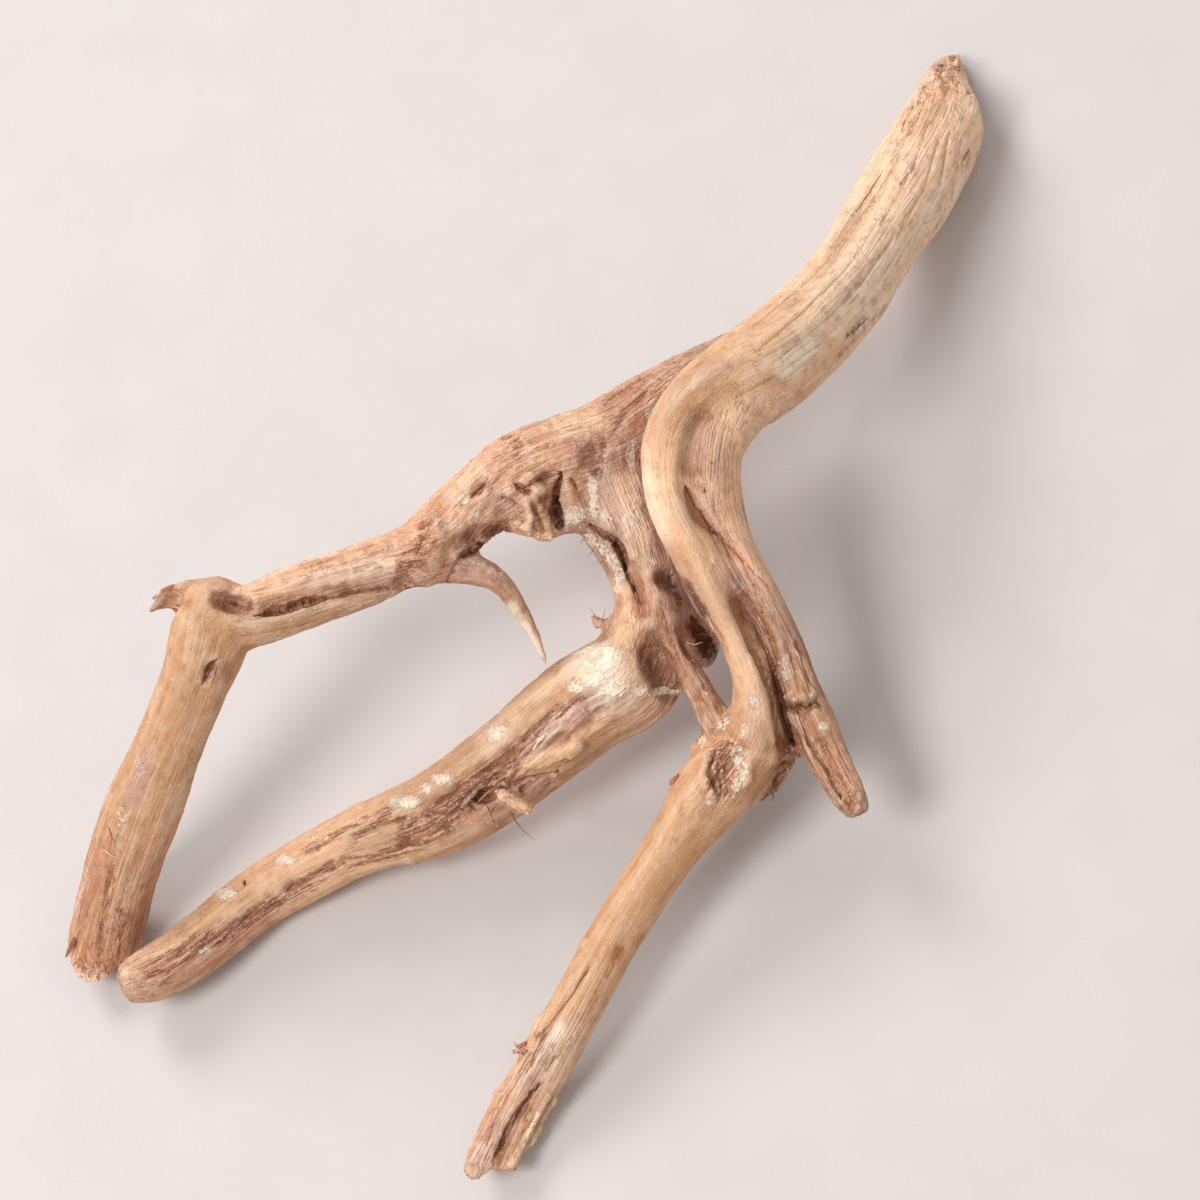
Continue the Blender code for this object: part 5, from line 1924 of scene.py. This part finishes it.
@dataclass(frozen=True)
class Slivers:
    """A group of slivers that make one piece."""

    name: str
    parts: tuple[Sliver, ...]
    sides: int = 7
    steps: int = 4
    root: float = 0.5
    rounding: int = 2
    taper: float = 0.7
    waver: float = 0.3
    waver_count: float = 6.0
    first_seed: int = 300

    def build(self, surface: BVHTree, finish: bpy.types.Material) -> bpy.types.Object:
        """Makes the piece.

        Args:
            surface: The skin, in metres.
            finish: The material of torn wood.

        Returns:
            The piece.
        """
        shape = bmesh.new()
        tones = shape.verts.layers.float_color.new("tone")
        for number, part in enumerate(self.parts):
            self._grow(shape, tones, part, self._route(surface, part), Noise(self.first_seed + number))
        mesh = bpy.data.meshes.new(self.name)
        bmesh.ops.recalc_face_normals(shape, faces=shape.faces[:])
        shape.to_mesh(mesh)
        shape.free()
        mesh.transform(Matrix.Scale(MM, 4))
        mesh.shade_smooth()
        mesh.materials.append(finish)
        piece = linked(self.name, mesh)
        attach(piece, BODY)
        return piece

    def _route(self, surface: BVHTree, part: Sliver) -> Array:
        """Where a sliver's middle line runs, starting inside the wood.

        Args:
            surface: The skin, in metres.
            part: The sliver.

        Returns:
            Its points in the resting pose.
        """
        eye = DRAWING.eye
        rays = []
        for u, v, _ in part.points:
            across, up = DRAWING.from_spot((u, v))
            rays.append((Vector((1, 0, 0)) * across + DRAWING.up * up - eye).normalized())
        start = Vector(DRAWING.resting(np.array(eye))) * MM
        hit, _, _, distance = surface.ray_cast(start, DRAWING.lie_down @ rays[0])
        if hit is None:
            raise ValueError(f"no wood under {part.points[0]} of {self.name}")
        depth = distance / MM * -rays[0].dot(DRAWING.back)
        route = []
        for (_, _, toward), ray in zip(part.points, rays):
            route.append(eye + ray * ((depth - toward) / -ray.dot(DRAWING.back)))
        first = route[0] + rays[0] * self.root
        return DRAWING.resting(np.array([first, *route]))

    def _grow(
        self, shape: bmesh.types.BMesh, tones: object, part: Sliver, route: Array, noise: Noise
    ) -> None:
        """Adds one closed tapering sliver.

        Args:
            shape: The mesh that it is added to.
            tones: The mesh's colour layer.
            part: The sliver.
            route: Its middle line in the resting pose.
            noise: What makes its width waver.
        """
        knots = np.arange(len(route))
        along = np.linspace(0, knots[-1], (len(route) - 1) * self.steps + 1)
        middle = np.stack([np.interp(along, knots, route[:, axis]) for axis in range(3)], axis=1)
        for _ in range(self.rounding):
            middle[1:-1] += 0.5 * ((middle[:-2] + middle[2:]) / 2 - middle[1:-1])
        tangents = unit(np.gradient(middle, axis=0))
        side = unit(np.cross(tangents, DRAWING.lie_down @ DRAWING.back))
        depth = np.cross(tangents, side)
        share = along / along[-1]
        size = part.blunt + (1 - part.blunt) * (1 - share) ** self.taper
        size *= 1 + self.waver * noise.at(share[:, None] * (self.waver_count, 0.0, 0.0))
        rings = []
        for centre, one, two, scale in zip(middle, side, depth, size):
            ring = []
            for turn in range(self.sides):
                angle = 2 * math.pi * turn / self.sides
                out = one * (part.width / 2 * math.cos(angle)) + two * (part.thickness / 2 * math.sin(angle))
                vertex = shape.verts.new(centre + out * scale)
                vertex[tones] = (*part.colour.value, 1.0)
                ring.append(vertex)
            rings.append(ring)
        for low, high in zip(rings, rings[1:]):
            for turn in range(self.sides):
                after = (turn + 1) % self.sides
                shape.faces.new((low[turn], low[after], high[after], high[turn]))
        shape.faces.new(rings[0][::-1])
        shape.faces.new(rings[-1])


@dataclass(frozen=True)
class TornFibre:
    """The dry fibre of hairs, splinters and flakes."""

    speckle_scale: float = 2600.0
    cloud_scale: float = 700.0
    bump_strength: float = 0.8
    bump_height: float = 0.0002
    roughness: float = 0.8
    specular: float = 0.25

    def material(self) -> bpy.types.Material:
        """Builds the finish.

        Returns:
            The material.
        """
        graph = Graph("torn_fibre")
        patterns = {
            Pattern.SPECKLE: graph.noise(graph.place(), self.speckle_scale),
            Pattern.CLOUD: graph.noise(graph.place(), self.cloud_scale, 2.0),
        }
        colour = graph.washed(graph.attribute("tone", "Color"), FIBRE_WASHES, patterns)
        graph.bump(patterns[Pattern.SPECKLE], self.bump_strength, self.bump_height)
        return graph.finish(Base_Color=colour, Roughness=self.roughness, Specular_IOR_Level=self.specular)


ROOT_HAIRS = Slivers(
    "root_hairs",
    (
        hair(HONEY, 0.22, (694, 636, 0), (703, 633, 1.5), (712, 637, 2.5), (720, 640, 2.0)),
        hair(HONEY, 0.2, (702, 640, 0), (712, 634, 1.5), (718, 626, 1.5)),
        hair(PALE_TAN, 0.18, (686, 642, 0), (694, 645, 1.5), (703, 642, 2.0)),
        hair(GREY_BROWN, 0.16, (691, 606, 0), (696, 610, 1.2), (700, 616, 1.0)),
        hair(BARK_BROWN, 0.18, (696, 602, 0), (702, 608, 1.2), (704, 616, 1.4)),
        hair(BARK_BROWN, 0.18, (703, 612, 0), (708, 620, 1.2), (706, 628, 1.5)),
        hair(PALE_TAN, 0.18, (708, 618, 0), (713, 628, 1.2), (711, 634, 1.5)),
        hair(BARK_BROWN, 0.18, (700, 606, 0), (708, 612, 0.8), (712, 622, 0.6)),
        hair(HONEY, 0.18, (706, 652, 0), (714, 648, 1.5), (722, 650, 1.5)),
    ),
)
THORN_HAIRS = Slivers(
    "thorn_hairs",
    (
        hair(HONEY, 0.2, (602, 622, 0), (604, 614, 0.5), (606, 606, 0.5)),
        hair(HONEY, 0.22, (598, 620, 0), (594, 614, 0.4), (590, 608, 0.2)),
        hair(PALE_TAN, 0.18, (606, 624, 0), (609, 618, 0.5), (611, 612, 0.5)),
        hair(BARK_BROWN, 0.2, (596, 546, 0), (592, 552, 0.3), (588, 556, 0.1)),
        hair(BARK_BROWN, 0.18, (604, 560, 0), (599, 564, 0.3), (596, 562, 0.1)),
        hair(BARK_BROWN, 0.2, (586, 536, 0), (582, 541, 0.3), (580, 546, 0.1)),
        hair(BARK_BROWN, 0.2, (540, 530, 0), (541, 536, 0.3), (539, 542, 0.1)),
    ),
)
TIP_SPLINTERS = Slivers(
    "tip_splinters",
    (
        flake(PINK_TAN, 0.8, (938, 79, 0), (935, 73, 0), (932, 66, -0.2)),
        flake(PINK_TAN, 0.8, (955, 66, 0), (957, 60, 0), (958, 54, -0.3)),
    ),
)
TWIG_STUB = Slivers(
    "twig_stub",
    (
        Sliver(
            ((503, 795, 0.3), (512, 800, 0.9), (522, 806, 1.3), (531, 811, 1.5)), 1.9, 1.7, LIGHT_HONEY, 0.9,
        ),
        Sliver(((498, 790, 0.2), (504, 796, 0.9), (510, 801, 1.1)), 1.3, 1.0, PALE_TAN, 0.6),
    ),
)
BARK_FIBRES = Slivers(
    "bark_fibres",
    (
        flake(PINK_TAN, 0.6, (562, 712, 0), (554, 718, 0.3), (548, 726, 0.1)),
        flake(MAUVE, 0.7, (548, 724, 0), (538, 730, 0.4), (531, 738, 0.1)),
        flake(CREAM, 0.5, (546, 734, 0), (538, 742, 0.3), (533, 750, 0.1)),
        flake(MAUVE, 0.6, (532, 742, 0), (524, 750, 0.3), (520, 760, 0.1)),
        flake(GREY_BROWN, 0.6, (500, 786, 0), (488, 792, 0.9), (478, 802, 0.6)),
        flake(BARK_BROWN, 0.5, (472, 792, 0), (458, 798, 0.7), (448, 806, 0.3)),
        flake(GREY_BROWN, 0.5, (448, 820, 0), (437, 823, 0.7), (430, 829, 0.3)),
        flake(BARK_BROWN, 0.7, (410, 838, 0), (396, 846, 0.6), (384, 850, 0.3)),
        hair(BARK_BROWN, 0.35, (494, 822, 0), (490, 812, 1.2), (484, 802, 1.6)),
        hair(HONEY, 0.3, (490, 814, 0), (492, 806, 1.4), (496, 800, 1.8)),
        hair(BARK_BROWN, 0.3, (512, 814, 0), (516, 822, 1.0), (524, 832, 0.5), (535, 840, 0)),
        hair(HONEY, 0.25, (508, 806, 0), (514, 812, 1.2), (522, 814, 1.4)),
        flake(HONEY, 0.5, (484, 826, 0), (486, 815, 0.9), (492, 803, 1.2)),
        flake(LIGHT_HONEY, 0.4, (496, 826, 0), (502, 817, 0.7), (507, 808, 0.9)),
        flake(ORANGE_BROWN, 0.9, (352, 846, 0), (364, 842, 0.8), (378, 836, 0.7)),
    ),
)
FOOT_FIBRES = Slivers(
    "foot_fibres",
    (
        hair(HONEY, 0.3, (100, 863, 0), (116, 858, 0.9), (132, 857, 0.9), (146, 861, 0.3)),
        hair(PALE_TAN, 0.25, (104, 850, 0), (112, 856, 0.8), (124, 862, 0.8)),
        hair(RED_BROWN, 0.3, (108, 826, 0), (112, 840, 0.6), (108, 852, 0.8)),
        hair(ORANGE_BROWN, 0.3, (118, 832, 0), (110, 842, 0.7), (102, 846, 0.5)),
        hair(RED_BROWN, 0.3, (126, 912, 0), (118, 926, 0.7), (112, 942, 0.5)),
        hair(ORANGE_BROWN, 0.3, (114, 908, 0), (120, 922, 0.7), (122, 936, 0.5)),
        hair(HONEY, 0.25, (130, 920, 0), (124, 936, 0.6), (117, 948, 0.4)),
        flake(BARK_BROWN, 1.0, (76, 938, 0), (70, 948, 0.2), (66, 957, 0.1)),
        flake(RED_BROWN, 0.8, (120, 962, 0), (122, 970, 0.3), (120, 977, 0)),
        hair(ORANGE_BROWN, 0.35, (520, 1050, 0), (516, 1046, 0.5), (514, 1041, 0.3)),
        hair(BARK_BROWN, 0.35, (524, 1054, 0), (518, 1052, 0.5), (512, 1054, 0.3)),
        flake(RED_BROWN, 1.0, (527, 1044, 0), (519, 1046, 0.4), (513, 1052, 0.3)),
        flake(RED_BROWN, 0.9, (174, 587, 0), (162, 590, 0.3), (153, 599, 0)),
        flake(PALE_TAN, 0.9, (540, 1112, 0), (530, 1130, 0.6), (520, 1148, 0.3)),
    ),
)
KNOT_FLAKES = Slivers(
    "knot_flakes",
    (
        flake(BARK_BROWN, 1.4, (788, 748, 0), (796, 752, 0.3), (800, 757, 0)),
        flake(GREY_BROWN, 1.2, (782, 762, 0), (788, 768, 0.3), (787, 774, 0)),
        flake(BARK_BROWN, 1.1, (774, 780, 0), (778, 786, 0.3), (775, 792, 0)),
        flake(RED_BROWN, 1.2, (678, 778, 0), (673, 780, 0.5), (670, 785, 0.2)),
        flake(HONEY, 0.8, (800, 684, 0), (804, 694, 0.2), (807, 703, 0.2)),
        flake(GREY_BROWN, 0.8, (788, 680, 0), (792, 692, 0.2), (794, 702, 0.2)),
        flake(HONEY, 0.7, (808, 680, 0), (811, 692, 0.2), (813, 700, 0.2)),
        hair(BARK_BROWN, 0.3, (770, 790, 0), (774, 796, 0.4), (772, 802, 0.1)),
    ),
)
SLIVERS = (ROOT_HAIRS, THORN_HAIRS, TIP_SPLINTERS, TWIG_STUB, BARK_FIBRES, FOOT_FIBRES, KNOT_FLAKES)


def report(piece: bpy.types.Object) -> None:
    """Says what a piece came out as."""
    triangles = len(piece.data.loops) - 2 * len(piece.data.polygons)
    log.info("%s: %d triangles", piece.name, triangles)


def main() -> None:
    """Builds the branch and its studio, and reports each piece."""
    logging.basicConfig(level=logging.INFO, format="%(name)s: %(message)s")
    wood = WeatheredWood().material()
    skin = Skin().build(wood)
    report(skin)
    surface = BVHTree.FromObject(skin, bpy.context.evaluated_depsgraph_get())
    torn = TornFibre().material()
    for group in SLIVERS:
        report(group.build(surface, torn))
    Studio().build()


if __name__ == "__main__":
    main()
